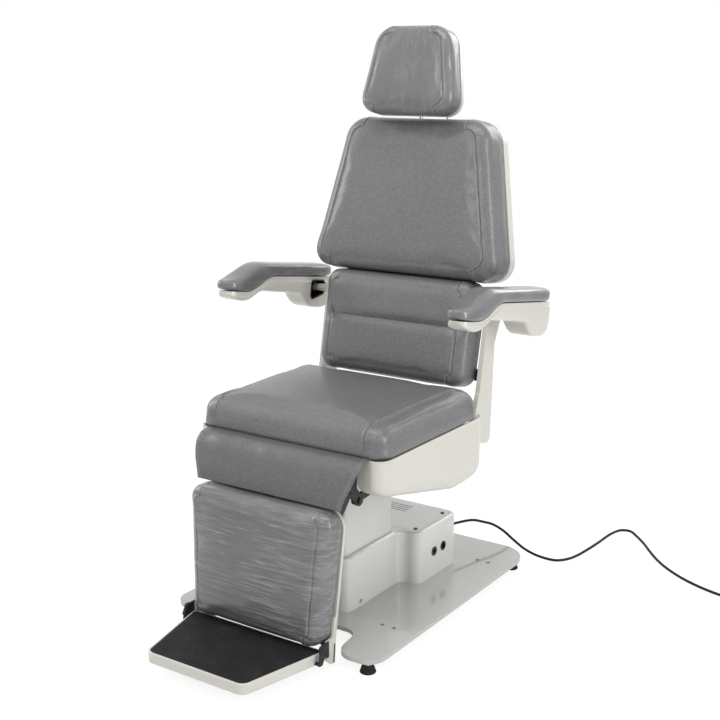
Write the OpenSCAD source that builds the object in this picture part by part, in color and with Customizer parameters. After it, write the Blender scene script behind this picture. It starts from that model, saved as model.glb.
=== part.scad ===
// Reclining examination chair: floor plate, covered lifting column, linked backrest and
// legrest, flip-up armrests, sliding headrest and mains lead.
// Sizes are millimetres. The chair faces -Y, and the sitter's left side is +X.
// Heights are above the floor, and places along Y are counted from the column's datum.

/* [Base] */
// Width of the floor plate
plate_w = 580; // [560:5:620]
// Datum to the plate's rear edge
plate_rear = 420; // [400:5:450]
// Datum to the front of the plate's lobes
plate_front = 332; // [325:1:345]
// Thickness of the floor plate
plate_t = 10; // [8:1:12]
// Height of the plate's top face
plate_top = 37; // [34:1:40]
// Corner radius at the plate's rear
plate_corner_r = 78; // [60:2:90]
// Radius of the front lobes
lobe_r = 45; // [38:1:48]
// Half width of the notch at its rear
notch_half = 172; // [165:1:178]
// Half width of the notch at its mouth
notch_mouth = 188; // [184:1:192]
// Datum to the notch's rear edge
notch_depth = 222; // [210:2:235]
// Radius of the notch's inner corners
notch_r = 36; // [25:1:45]
// Radius of the floor-fixing holes
anchor_r = 5.5; // [4.5:0.5:6.5]
// Half spacing of the outer fixing holes
anchor_out = 231; // [225:1:240]
// Half spacing of the inner fixing holes
anchor_in = 200; // [190:1:206]
// Front row of fixing holes
anchor_front = -162; // [-175:1:-150]
// Rear row of fixing holes
anchor_rear = 292; // [280:1:300]
// Half spacing of the levelling feet
foot_x = 258; // [250:1:262]
// Front row of feet
foot_front = -308; // [-312:1:-300]
// Rear row of feet
foot_rear = 372; // [360:1:380]
// Radius of a rubber foot at the floor
foot_r = 18; // [15:1:22]

/* [Base cover] */
// Half width of the cover's narrow front
cover_half = 103; // [101:1:110]
// Half width of the cover's rear box
box_half = 157; // [150:1:165]
// Front face of the cover
cover_front = -165; // [-175:1:-162]
// Front face of the rear box
box_front = 69; // [66:1:80]
// Rear face of the box
box_rear = 261; // [255:1:275]
// Height of the cover's top
cover_top = 172; // [165:1:180]
// Wall of the moulded covers
cover_wall = 3; // [2.5:0.5:4]
// Radius of the upright corners
cover_corner_r = 26; // [18:1:30]
// Radius of the top edge
cover_edge_r = 8; // [5:1:10]

/* [Column] */
// Half width of the outer sleeve
sleeve_half = 89; // [86:1:92]
// Front face of the outer sleeve
sleeve_front = -151; // [-155:1:-148]
// Rear face of the outer sleeve
sleeve_rear = 54; // [50:1:57]
// Wall of the sleeves
sleeve_wall = 2; // [1.5:0.5:2.5]
// Width of the fixed column tube
column_w = 130; // [124:1:136]
// Wall of the column tubes
tube_wall = 5; // [4:0.5:6]
// Gap that the glide pads fill
glide_gap = 5; // [4:0.5:6]
// Height of the fixed column's top
column_top = 330; // [310:5:340]
// Height of the mast's top plate
mast_top = 404; // [400:1:408]
// Travel of the lift
lift_travel = 200; // [150:10:200]

/* [Seat] */
// Half width of the seat cushion
seat_half = 262; // [255:1:264]
// Front of the seat cushion
seat_front = -255; // [-256:1:-249]
// Rear of the seat cushion
seat_rear = 172; // [167:1:173]
// Underside of the seat cushion
seat_low = 462; // [460:1:465]
// Top of the seat cushion
seat_high = 540; // [530:1:545]
// Half width of the seat cover
skirt_half = 262; // [260:1:268]
// Front face of the seat cover
skirt_front = -257; // [-262:1:-255]
// Rear face of the seat cover
skirt_rear = 201; // [200:1:206]
// Lower edge of the seat cover at its front
skirt_low_front = 383; // [378:1:388]
// Lower edge of the seat cover at its rear
skirt_low_rear = 311; // [306:1:316]

/* [Backrest] */
// Place of the recline axis along Y
pivot_y = 190; // [188:1:192]
// Height of the recline axis
pivot_z = 420; // [418:1:422]
// Lean of the backrest from upright, degrees
back_lean = 11.3; // [10:0.1:12]
// Radius of the recline shaft
shaft_r = 14; // [12:0.5:15]
// Thickness of a side strut
strut_t = 12; // [10:1:13]
// Inner face of a side strut
strut_in = 229; // [227:1:231]
// Depth of the backrest's cushion faces in front of the axis
back_face = 54; // [50:1:56]
// Depth of the cushions' rear boards behind the axis
back_board = 29; // [28:1:30]
// Lower edge of the lumbar cushion along the back
lumbar_low = 100; // [99:1:106]
// Upper edge of the lumbar cushion along the back
lumbar_high = 356; // [350:1:357]
// Half width of the lumbar cushion
lumbar_half = 218; // [212:1:222]
// Lower edge of the upper cushion along the back
upper_low = 361; // [360:1:366]
// Upper edge of the upper cushion along the back
upper_high = 751; // [740:1:752]
// Half width of the upper cushion at its foot
upper_half_low = 280; // [272:1:282]
// Half width of the upper cushion at its top
upper_half_high = 203; // [195:1:208]
// Depth of the rear shell behind the axis
shell_rear = 65; // [64:1:70]
// Radius of the armrest crossbar
bar_r = 10; // [9:0.5:11]
// Crossbar's place along the back
bar_along = 301; // [298:1:304]
// Crossbar's depth behind the axis
bar_depth = 40; // [39:0.5:42]

/* [Headrest] */
// Lower edge of the headrest along the back
head_low = 748; // [747:1:755]
// Upper edge of the headrest along the back
head_high = 959; // [948:1:965]
// Half width of the headrest at its foot
head_half_low = 138; // [132:1:144]
// Half width of the headrest at its top
head_half_high = 101; // [94:1:107]
// Face of the headrest in front of the axis
head_face = 118; // [117:1:122]
// Thickness of the headrest cushion
head_pad_t = 60; // [57:1:61]
// Thickness of the headrest shell
head_shell_t = 21; // [18:1:24]
// Radius of a headrest post
post_r = 6; // [5:0.5:7]
// Half spacing of the headrest posts
post_half = 40; // [36:1:44]

/* [Armrests] */
// Centre of an armrest across the chair
arm_x = 326; // [325:1:330]
// Half width of an armrest pad
arm_half = 36; // [33:1:38]
// Drop of the armrest to the rear, degrees
arm_drop = 8.2; // [7:0.1:9]
// Length from the crossbar to the armrest's tip
arm_reach = 374; // [360:2:385]
// Pad's thickness
arm_pad_t = 34; // [30:1:36]

/* [Legrest] */
// Place of the legrest axis along Y
knee_y = -228; // [-230:1:-226]
// Height of the legrest axis
knee_z = 378; // [376:1:380]
// Lean of the hanging legrest, degrees
leg_lean = 4.7; // [4:0.1:5.5]
// Face of the legrest pad in front of the axis
leg_face = 136; // [134:1:137]
// Thickness of the legrest pad
leg_pad_t = 55; // [51:1:56]
// Thickness of the legrest's back plate
leg_plate_t = 8; // [6:1:9]
// Half width of the legrest at its top
leg_half_high = 200; // [194:1:202]
// Half width of the legrest pad at its foot
leg_half_low = 182; // [170:1:183]
// Upper edge of the legrest pad below the axis
leg_high = 27; // [27:1:32]
// Lower edge of the legrest pad below the axis
leg_low = 323; // [318:1:326]
// Length of the levers that link backrest and legrest
lever_r = 50; // [46:1:54]

/* [Footplate] */
// Front edge of the footplate
tread_front = -586; // [-600:2:-570]
// Rear edge of the footplate
tread_rear = -374; // [-376:1:-372]
// Half width at the front
tread_half_front = 136; // [126:1:144]
// Reach of the rear corners past the legrest
tread_ear = 5; // [4:1:7]
// Height of the footplate's top
tread_top = 54; // [53:1:54.5]
// Depth of the footplate's rim
tread_t = 24; // [20:1:25]
// Thickness of the rubber mat
mat_t = 3; // [2:0.5:3]

/* [Mains lead] */
// Diameter of the cord
cord_d = 7; // [6:0.5:8]

/* [Hidden] */
$fn = 64;

// Shared allowances
over = 2;
run_gap = 0.3;
fit_gap = 0.1;
bore_gap = 0.05;
side_gap = 2;
arc_steps = 5;
screw_r = 3;
screw_head_r = 5;
screw_head_t = 2;

// Moves the chair so that its origin lies under the centre of its outline
centre_y = -(tread_front + plate_rear) / 2;
module placed() translate([0, centre_y, 0]) children();

// Colours of the finishes
plate_paint = [0.66, 0.67, 0.64];
pale_grey = [0.78, 0.79, 0.76];
cream = [0.86, 0.85, 0.80];
vinyl_grey = [0.38, 0.38, 0.39];
black_paint = [0.06, 0.06, 0.06];
rubber = [0.04, 0.04, 0.04];
steel = [0.62, 0.63, 0.65];
zinc = [0.70, 0.71, 0.73];
board_brown = [0.20, 0.18, 0.16];

// One rounded corner of an outline, drawn in by d: p, q and s are three corners in turn
function unit(v) = v / norm(v);
function arc_points(p, q, s, r, d) =
  let (a = unit(p - q), b = unit(s - q), open = acos(a * b) / 2)
  let (centre = q + unit(a + b) * r / sin(open), bend = sign(cross(q - p, s - q)))
  let (first = q + a * r / tan(open) - centre, last = q + b * r / tan(open) - centre)
  let (start = atan2(first.y, first.x), turn = atan2(last.y, last.x) - start)
  let (sweep = turn > 180 ? turn - 360 : turn < -180 ? turn + 360 : turn)
  [for (i = [0:arc_steps]) let (t = start + sweep * i / arc_steps)
    centre + (r - bend * d) * [cos(t), sin(t)]];

// Closed outline, counter-clockwise, from corners [x, y, radius] and drawn in by d
function flat(c) = [c.x, c.y];
function outline(corners, d = 0) =
  let (n = len(corners))
  [for (i = [0:n - 1])
    each arc_points(flat(corners[(i + n - 1) % n]), flat(corners[i]),
      flat(corners[(i + 1) % n]), corners[i][2], d)];

// Four corners of a plate that tapers from half width a at y0 to b at y1
function taper_corners(a, y0, b, y1, r0, r1) =
  [[-a, y0, r0], [a, y0, r0], [b, y1, r1], [-b, y1, r1]];

function level(points, z) = [for (p = points) [p.x, p.y, z]];

// Solid through rings of equally many points, counter-clockwise seen from where they lead.
// Ends that aren't flat are closed by strips between a ring's two mirrored halves.
module loft(rings, strips = false) {
  n = len(rings[0]);
  m = len(rings);
  polyhedron(
    points = [for (ring = rings) each ring],
    faces = concat(
      strips ? [for (i = [0:n / 2 - 2]) [i, i + 1, n - 2 - i, n - 1 - i]] : [[for (i = [0:n - 1]) i]],
      [for (k = [0:m - 2], i = [0:n - 1]) let (j = (i + 1) % n)
        each [[k * n + i, (k + 1) * n + i, (k + 1) * n + j],
          [k * n + i, (k + 1) * n + j, k * n + j]]],
      strips ? [for (i = [0:n / 2 - 2], a = (m - 1) * n) [a + n - 1 - i, a + n - 2 - i, a + i + 1, a + i]]
        : [[for (i = [n - 1:-1:0]) (m - 1) * n + i]]));
}

// Cutter that rounds an upright wall's top edge by r: a closed band round the outline whose
// first and last facets run on past the wall and the top face
edge_shares = [0, 0.25, 0.5, 0.75, 1];
edge_over = 1;
module edge_cutter(corners, z, r) {
  reach = edge_over / tan(90 * edge_shares[1] / 2);
  section = concat([[-edge_over, z - r - reach], [-edge_over, z + edge_over], [r + reach, z + edge_over]],
    [for (i = [len(edge_shares) - 2:-1:1]) let (t = 90 * edge_shares[i])
      [r * (1 - cos(t)), z - r + r * sin(t)]]);
  rings = [for (s = section) level(outline(corners, s.x), s.y)];
  n = len(rings[0]);
  m = len(rings);
  polyhedron(points = [for (ring = rings) each ring],
    faces = [for (k = [0:m - 1], i = [0:n - 1]) let (j = (i + 1) % n, up = (k + 1) % m)
      each [[k * n + i, up * n + i, up * n + j], [k * n + i, up * n + j, k * n + j]]]);
}

// Soft ring with its own roundness at the front and the rear
ring_points = 32;
function soft_power(v, power) = sign(v) * pow(abs(v), 2 / power);
function soft_ring(a, front, rear, mid, front_power, rear_power, z, n = ring_points) =
  [for (i = [0:n - 1])
    let (t = 360 * i / n, power = sin(t) < 0 ? front_power : rear_power)
    [a * soft_power(cos(t), power),
      mid + (sin(t) < 0 ? mid - front : rear - mid) * soft_power(sin(t), power), z]];

// Heights near an end whose edge is rounded by r and whose corners are rounded by c
edge_angles = [0, 35, 65];
corner_angles = [0, 45, 90];
function end_heights(r, c) = concat([for (t = edge_angles) r * (1 - cos(t))],
  [for (t = corner_angles) c - (c - r) * cos(t)]);
function round_in(h, r) = h < r ? r - sqrt(r * r - (r - h) * (r - h)) : 0;
// Stations [height, inset at the sides, inset at the face], with shares of the length between
function stations(z0, z1, r, c0, c1, shares) =
  let (low = end_heights(r, c0), high = end_heights(r, c1), last = len(high) - 1)
  concat([for (h = low) [z0 + h, round_in(h, c0), round_in(h, r)]],
    [for (s = shares) [z0 + c0 + (z1 - z0 - c0 - c1) * s, 0, 0]],
    [for (i = [last:-1:0]) [z1 - high[i], round_in(high[i], c1), round_in(high[i], r)]]);

// Upholstered block: edges rounded by r, corners by c0 and c1, swelling by crown, with one
// sewn channel across it
front_power = 6;
rear_power = 7;
widest_share = 0.62;
plain_shares = [0.2, 0.5, 0.8];
module cushion(z0, z1, a0, a1, front, rear, r, c0, c1, crown, shares = plain_shares,
    channel_z = 0, channel_depth = 0, channel_w = 1) {
  loft([for (s = stations(z0, z1, r, c0, c1, shares))
    let (along = (s[0] - z0) / (z1 - z0))
    let (swell = crown * sin(180 * along))
    let (groove = channel_depth * exp(-pow((s[0] - channel_z) / channel_w, 2)))
    let (near = front - swell + s[2] + groove, far = rear - s[2] / 2)
    soft_ring(a0 + (a1 - a0) * along - s[1], near, far, near + (far - near) * widest_share,
      front_power, rear_power, s[0])]);
}

// Base

foot_stud_r = 6;
foot_stud_seat = 6;
foot_neck_r = 12;
foot_pad_h = 19;
foot_nut_r = 11;
foot_places = [for (x = [-foot_x, foot_x], y = [foot_front, foot_rear]) [x, y]];
plate_low = plate_top - plate_t;
plate_half = plate_w / 2;
plate_corners = [
  [-plate_half, plate_rear, plate_corner_r], [-plate_half, -plate_front, lobe_r],
  [-notch_mouth, -plate_front, lobe_r], [-notch_half, -notch_depth, notch_r],
  [notch_half, -notch_depth, notch_r], [notch_mouth, -plate_front, lobe_r],
  [plate_half, -plate_front, lobe_r], [plate_half, plate_rear, plate_corner_r]];

module floor_plate() color(plate_paint) placed() difference() {
  translate([0, 0, plate_low]) linear_extrude(plate_t) polygon(outline(plate_corners));
  for (x = [-anchor_out, -anchor_in, anchor_in, anchor_out], y = [anchor_front, anchor_rear])
    translate([x, y, plate_low - over]) cylinder(r = anchor_r, h = plate_t + 2 * over);
  for (p = foot_places)
    translate([p.x, p.y, plate_low - over])
      cylinder(r = foot_stud_r + fit_gap, h = foot_stud_seat + over);
}

foot_sole_h = 4;
foot_shoulder_r = 15;
foot_shoulder_share = 0.62;
foot_recess = 4;
module foot_pads() color(rubber) placed() for (p = foot_places)
  translate([p.x, p.y, 0]) difference() {
    rotate_extrude() polygon([
      [0, 0], [foot_r, 0], [foot_r, foot_sole_h],
      [foot_shoulder_r, foot_pad_h * foot_shoulder_share], [foot_neck_r, foot_pad_h], [0, foot_pad_h]]);
    translate([0, 0, foot_pad_h - foot_recess])
      cylinder(r = foot_stud_r + fit_gap, h = foot_recess + over);
  }

module foot_studs() color(zinc) placed() for (p = foot_places) translate([p.x, p.y, 0]) {
  translate([0, 0, foot_pad_h - foot_recess])
    cylinder(r = foot_stud_r, h = plate_low + foot_stud_seat - foot_pad_h + foot_recess);
  translate([0, 0, foot_pad_h]) cylinder(r = foot_nut_r, h = plate_low - foot_pad_h, $fn = 6);
}

// Cover over the base: a narrow front and a wider rear box, with a seat for the service lid
cover_corners = [
  [-cover_half, cover_front, cover_corner_r], [cover_half, cover_front, cover_corner_r],
  [cover_half, box_front, cover_corner_r], [box_half, box_front, cover_corner_r],
  [box_half, box_rear, cover_corner_r], [-box_half, box_rear, cover_corner_r],
  [-box_half, box_front, cover_corner_r], [-cover_half, box_front, cover_corner_r]];
cover_fit = 1.5;
lid_margin = 11;
lid_front = box_front + lid_margin;
lid_rear = box_rear - 2 * lid_margin;
lid_half = box_half - lid_margin;
lid_lip = 10;
lid_t = 2.5;
socket_x = box_half;
socket_z = 103;
socket_front_y = 143;
socket_rear_y = 187;
socket_r = 10;
gland_inset = 52;
gland_x = box_half - gland_inset;
gland_z = 108;
gland_r = 6;
screw_z = 50;
screw_share = 0.25;
screw_y = cover_front + (box_front - cover_front) * screw_share;

module base_cover() color(pale_grey) placed() difference() {
  translate([0, 0, plate_top]) linear_extrude(cover_top - plate_top) polygon(outline(cover_corners));
  edge_cutter(cover_corners, cover_top, cover_edge_r);
  translate([0, 0, plate_top - over])
    linear_extrude(cover_top - plate_top - lid_t - cover_wall + over)
      polygon(outline(cover_corners, cover_wall));
  translate([-sleeve_half - cover_fit, sleeve_front - cover_fit, cover_top - cover_edge_r - over])
    cube([2 * (sleeve_half + cover_fit), sleeve_rear - sleeve_front + 2 * cover_fit,
      cover_edge_r + 2 * over]);
  translate([-lid_half, lid_front, cover_top - lid_t])
    cube([2 * lid_half, lid_rear - lid_front, lid_t + over]);
  translate([-lid_half + lid_lip, lid_front + lid_lip, cover_top - cover_edge_r - over])
    cube([2 * (lid_half - lid_lip), lid_rear - lid_front - 2 * lid_lip, cover_edge_r + 2 * over]);
  for (y = [socket_front_y, socket_rear_y])
    translate([socket_x - cover_wall - over, y, socket_z]) rotate([0, 90, 0])
      cylinder(r = socket_r + fit_gap, h = cover_wall + 2 * over);
  translate([gland_x, box_rear - cover_wall - over, gland_z]) rotate([-90, 0, 0])
    cylinder(r = gland_r + fit_gap, h = cover_wall + 2 * over);
  for (x = [-cover_half, cover_half])
    translate([x - cover_wall - over, screw_y, screw_z]) rotate([0, 90, 0])
      cylinder(r = screw_r + fit_gap, h = 2 * (cover_wall + over));
}

louvre_count = 4;
louvre_w = 4;
louvre_pitch = 12;
louvre_half = 46;
louvre_inset = 16;
lid_screw_inset = 14;
lid_screw_places = [for (x = [-lid_half + lid_screw_inset, lid_half - lid_screw_inset],
  y = [lid_front + lid_screw_inset, lid_rear - lid_screw_inset]) [x, y]];
lid_edge = 0.5;
module service_lid() color(pale_grey) placed() difference() {
  translate([-lid_half + lid_edge, lid_front + lid_edge, cover_top - lid_t])
    cube([2 * (lid_half - lid_edge), lid_rear - lid_front - 2 * lid_edge, lid_t]);
  for (i = [0:louvre_count - 1])
    translate([-louvre_half, lid_rear - louvre_inset - i * louvre_pitch - louvre_w,
        cover_top - lid_t - over])
      cube([2 * louvre_half, louvre_w, lid_t + 2 * over]);
  for (p = lid_screw_places)
    translate([p.x, p.y, cover_top - lid_t - over])
      cylinder(r = screw_r + fit_gap, h = lid_t + 2 * over);
}

module pan_screw(shank) {
  translate([0, 0, -shank]) cylinder(r = screw_r, h = shank);
  difference() {
    cylinder(r = screw_head_r, h = screw_head_t);
    for (t = [0, 90]) rotate([0, 0, t])
      translate([-screw_r, -screw_r / 4, screw_head_t / 2])
        cube([2 * screw_r, screw_r / 2, screw_head_t]);
  }
}

module lid_screws() color(black_paint) placed() for (p = lid_screw_places)
  translate([p.x, p.y, cover_top]) pan_screw(lid_t);

module cover_screws() color(steel) placed() for (side = [-1, 1])
  translate([side * cover_half, screw_y, screw_z]) rotate([0, side * 90, 0])
    pan_screw(cover_wall);

// Two sockets in the rear box: an open jack and a multi-pin one
socket_flange_r = 12;
socket_flange_t = 1.5;
socket_depth = 18;
jack_bore_r = 6;
pin_r = 0.8;
pin_ring_r = 4;
pin_count = 5;
module control_sockets() color(black_paint) placed() for (y = [socket_front_y, socket_rear_y])
  translate([socket_x, y, socket_z]) rotate([0, 90, 0]) {
    difference() {
      union() {
        translate([0, 0, -socket_depth]) cylinder(r = socket_r, h = socket_depth);
        cylinder(r = socket_flange_r, h = socket_flange_t);
      }
      translate([0, 0, -socket_depth + cover_wall])
        cylinder(r = y == socket_front_y ? jack_bore_r : socket_r - socket_flange_t,
          h = socket_depth + over);
    }
    if (y == socket_rear_y) for (i = [1:pin_count])
      rotate([0, 0, 360 * i / (pin_count + 1)]) translate([pin_ring_r, 0, -socket_depth + cover_wall])
        cylinder(r = pin_r, h = socket_depth / 2);
  }

// Fixed column with its flange
column_y = (sleeve_front + sleeve_rear) / 2;
flange_w = 166;
flange_t = 8;
bolt_half = 74;
bolt_r = 4;
bolt_head_r = 7.5;
bolt_head_t = 5;
module square_tube(w, wall, z0, z1) translate([0, column_y, z0]) difference() {
  translate([-w / 2, -w / 2, 0]) cube([w, w, z1 - z0]);
  translate([-w / 2 + wall, -w / 2 + wall, -over])
    cube([w - 2 * wall, w - 2 * wall, z1 - z0 + 2 * over]);
}
bolt_places = [for (x = [-bolt_half, bolt_half], y = [-bolt_half, bolt_half])
  [x, column_y + y]];

module fixed_column() color(black_paint) placed() {
  square_tube(column_w, tube_wall, plate_top, column_top);
  difference() {
    translate([-flange_w / 2, column_y - flange_w / 2, plate_top])
      cube([flange_w, flange_w, flange_t]);
    translate([-column_w / 2 + tube_wall, column_y - column_w / 2 + tube_wall, plate_top - over])
      cube([column_w - 2 * tube_wall, column_w - 2 * tube_wall, flange_t + 2 * over]);
    for (p = bolt_places) translate([p.x, p.y, plate_top - over])
      cylinder(r = bolt_r + fit_gap, h = flange_t + 2 * over);
  }
}

module column_bolts() color(zinc) placed() for (p = bolt_places)
  translate([p.x, p.y, plate_top]) {
    cylinder(r = bolt_r, h = flange_t);
    translate([0, 0, flange_t]) cylinder(r = bolt_head_r, h = bolt_head_t, $fn = 6);
  }

glide_w = 60;
glide_h = 55;
glide_top_inset = 8;
module glide_pads() color([0.85, 0.85, 0.82]) placed() translate([0, column_y, 0])
  for (side = [0:3]) rotate([0, 0, 90 * side])
    translate([-glide_w / 2, column_w / 2 - tube_wall - glide_gap + run_gap,
        column_top - glide_top_inset - glide_h])
      cube([glide_w, glide_gap - run_gap, glide_h]);

// Telescoping sleeves
sleeve_r = 9;
sleeve_gap = 1.3;
sleeve_low = 60;
fixed_sleeve_top = 374;
module sleeve(d, z0, z1) {
  corners = [[-sleeve_half, sleeve_front, sleeve_r], [sleeve_half, sleeve_front, sleeve_r],
    [sleeve_half, sleeve_rear, sleeve_r], [-sleeve_half, sleeve_rear, sleeve_r]];
  translate([0, 0, z0]) linear_extrude(z1 - z0) difference() {
    polygon(outline(corners, d));
    polygon(outline(corners, d + sleeve_wall));
  }
}
module fixed_sleeve() color(pale_grey) placed()
  sleeve(sleeve_wall + sleeve_gap, plate_top, fixed_sleeve_top);
mast_plate_t = 8;
module moving_sleeve() color(pale_grey) placed()
  sleeve(0, sleeve_low, mast_top - mast_plate_t);

// Lift actuator: gearbox, screw tube and motor inside the mast
screw_tube_r = 19.5;
lift_rod_r = 12;
gear_h = 36;
gear_half_x = 42;
gear_half_y = 26;
screw_x = -20.5;
screw_top = 335;
screw_floor = 85;
motor_h = 95;
rod_low = 90;
module lift_actuator() color(black_paint) placed() translate([0, column_y, plate_top]) difference() {
  union() {
    translate([-gear_half_x, -gear_half_y, 0]) cube([2 * gear_half_x, 2 * gear_half_y, gear_h]);
    translate([screw_x, 0, 0]) cylinder(r = screw_tube_r, h = screw_top - plate_top);
    translate([-screw_x, 0, 0]) cylinder(r = screw_tube_r, h = gear_h + motor_h);
  }
  translate([screw_x, 0, screw_floor - plate_top])
    cylinder(r = lift_rod_r + fit_gap, h = screw_top - screw_floor + over);
}
module lift_rod() color(steel) placed() translate([screw_x, column_y, rod_low])
  cylinder(r = lift_rod_r, h = mast_top - mast_plate_t - rod_low);

mast_w = column_w - 2 * tube_wall - 2 * glide_gap;
mast_low = 60;
mast_plate_edge = 5;
module lift_mast() color(steel) placed() {
  square_tube(mast_w, tube_wall, mast_low, mast_top - mast_plate_t);
  translate([-sleeve_half - mast_plate_edge, sleeve_front - mast_plate_edge, mast_top - mast_plate_t])
    cube([2 * (sleeve_half + mast_plate_edge),
      sleeve_rear - sleeve_front + 2 * mast_plate_edge, mast_plate_t]);
}

// Control box in the rear of the base
control_half = 95;
control_front = 100;
control_rear = 215;
control_h = 85;
fin_count = 9;
fin_t = 3;
fin_h = 12;
module control_box() color(zinc) placed() {
  translate([-control_half, control_front, plate_top])
    cube([2 * control_half, control_rear - control_front, control_h]);
  for (i = [0:fin_count - 1])
    translate([-control_half + i * (2 * control_half - fin_t) / (fin_count - 1), control_front,
        plate_top + control_h])
      cube([fin_t, control_rear - control_front, fin_h]);
}

// Mains lead

cord_r = cord_d / 2;
gland_flange_r = 9;
gland_flange_t = 3;
gland_len = 26;
gland_tip_r = 4.5;
gland_tip_bore = 4;
// Ribbed strain relief that grips the cord where it leaves the box
relief_rings = 5;
relief_ring_t = 2.4;
module cord_gland() color(rubber) placed()
 translate([gland_x, box_rear, gland_z]) rotate([-90, 0, 0]) {
  translate([0, 0, -cover_wall - gland_flange_t])
    cylinder(r = gland_r, h = cover_wall + 2 * gland_flange_t);
  cylinder(r = gland_flange_r, h = gland_flange_t);
  translate([0, 0, gland_flange_t])
    cylinder(r1 = gland_r, r2 = gland_tip_r, h = gland_len - gland_flange_t);
  for (i = [1:relief_rings])
    translate([0, 0, gland_flange_t + i * (gland_len - gland_flange_t) / (relief_rings + 1)])
      cylinder(r = gland_r, h = relief_ring_t);
}

// Route of the cord's centre line, placed by hand
cord_exit = [gland_x, box_rear + gland_len, gland_z];
cord_lie = cord_r + run_gap;
cord_route = [
  [gland_x, 300, gland_z], [112, 340, 105], [130, 388, 101], [149, 414, 92], [171, 432, 83],
  [195, 446, 66], [222, 456, 42], [252, 464, 20], [288, 470, 7], [334, 474, cord_lie],
  [360, 500, cord_lie], [372, 540, cord_lie], [379, 600, cord_lie], [383, 660, cord_lie],
  [386, 730, cord_lie], [398, 775, cord_lie], [424, 784, cord_lie], [452, 760, cord_lie],
  [490, 718, cord_lie], [524, 674, cord_lie], [566, 624, cord_lie], [620, 576, cord_lie],
  [684, 536, cord_lie], [756, 508, cord_lie], [836, 494, cord_lie], [910, 490, cord_lie]];
cord_last = cord_route[len(cord_route) - 1] + [2 * cord_d, 0, 0];

// Rounded path: points at even shares of a smooth curve through the route
function smooth_at(p, i, t) =
  let (a = p[max(i - 1, 0)], b = p[i], c = p[i + 1], d = p[min(i + 2, len(p) - 1)])
  0.5 * (2 * b + (c - a) * t + (2 * a - 5 * b + 4 * c - d) * t * t + (3 * b - a - 3 * c + d) * t * t * t);
function smooth(p, per) = concat(
  [for (i = [0:len(p) - 2], k = [0:per - 1]) smooth_at(p, i, k / per)], [p[len(p) - 1]]);

// Tube along a path, its rings square to it
function path_dir(p, i) = unit(p[min(i + 1, len(p) - 1)] - p[max(i - 1, 0)]);
function side_dir(d) = unit(cross(d, [0, 0, 1]));
function tube_rings(p, r, sides) = [for (i = [0:len(p) - 1])
  let (d = path_dir(p, i), u = side_dir(d), v = cross(u, d))
  [for (k = [0:sides - 1]) let (t = -360 * k / sides) p[i] + r * (cos(t) * u + sin(t) * v)]];
cord_sides = 8;
cord_steps = 3;
module mains_cord() color(rubber) placed()
  loft(tube_rings(concat([cord_exit], smooth(cord_route, cord_steps), [cord_last]), cord_r, cord_sides));

// Coil: winds in on the floor, climbs half a turn and winds out again on top
coil_loops = 3;
coil_steps = 24;
coil_sides = 6;
coil_pitch = 7.9;
coil_rise = 8;
coil_out_r = 50;
coil_centre = cord_last + [cord_d, coil_out_r, 0];
climb_half_turn = 180;
wind_turn = 360 * coil_loops;
coil_turn = 2 * wind_turn + climb_half_turn;
function coil_radius(t) = coil_out_r - coil_pitch * min(t, coil_turn - t) / 360;
function coil_lift(t) = coil_rise * (t < wind_turn ? 0
  : t < wind_turn + climb_half_turn ? (1 - cos(180 * (t - wind_turn) / climb_half_turn)) / 2 : 1);
function coil_point(t) = coil_centre
  + [coil_radius(t) * sin(t), -coil_radius(t) * cos(t), coil_lift(t)];
coil_count = round(coil_turn / 360 * coil_steps);
coil_body = [for (i = [0:coil_count]) coil_point(coil_turn * i / coil_count)];
coil_exit = coil_body[coil_count];
coil_tail = 28;
coil_path = concat([cord_last], coil_body, [coil_exit + [-coil_tail, 0, 0]]);
module cord_coil() color(rubber) placed() loft(tube_rings(coil_path, cord_r, coil_sides));

// Least gap between the coil's loops
coil_gap = min([for (i = [0:coil_count], j = [i + coil_steps / 2:1:coil_count])
  norm(coil_body[i] - coil_body[j]) - cord_d]);
echo(coil_gap = coil_gap);

// Moulded mains plug with two round pins
plug_start = coil_path[len(coil_path) - 1];
plug_relief_len = 24;
plug_len = 34;
plug_half_w = 17;
plug_half_h = 11;
plug_pin_len = 19;
plug_pin_r = 2.4;
plug_pin_half = 9.5;
plug_round = 6;
module mains_plug() color(rubber) placed() translate(plug_start) rotate([0, -90, 0]) {
  cylinder(r1 = cord_r + plug_pin_r / 2, r2 = plug_half_h - plug_pin_r, h = plug_relief_len);
  translate([0, 0, plug_relief_len]) linear_extrude(plug_len) polygon(outline(
    [[-plug_half_h, -plug_half_w, plug_round], [plug_half_h, -plug_half_w, plug_round],
      [plug_half_h, plug_half_w, plug_round], [-plug_half_h, plug_half_w, plug_round]]));
  for (y = [-plug_pin_half, plug_pin_half])
    translate([0, y, plug_relief_len + plug_len]) cylinder(r = plug_pin_r, h = plug_pin_len);
}

// Seat

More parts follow.
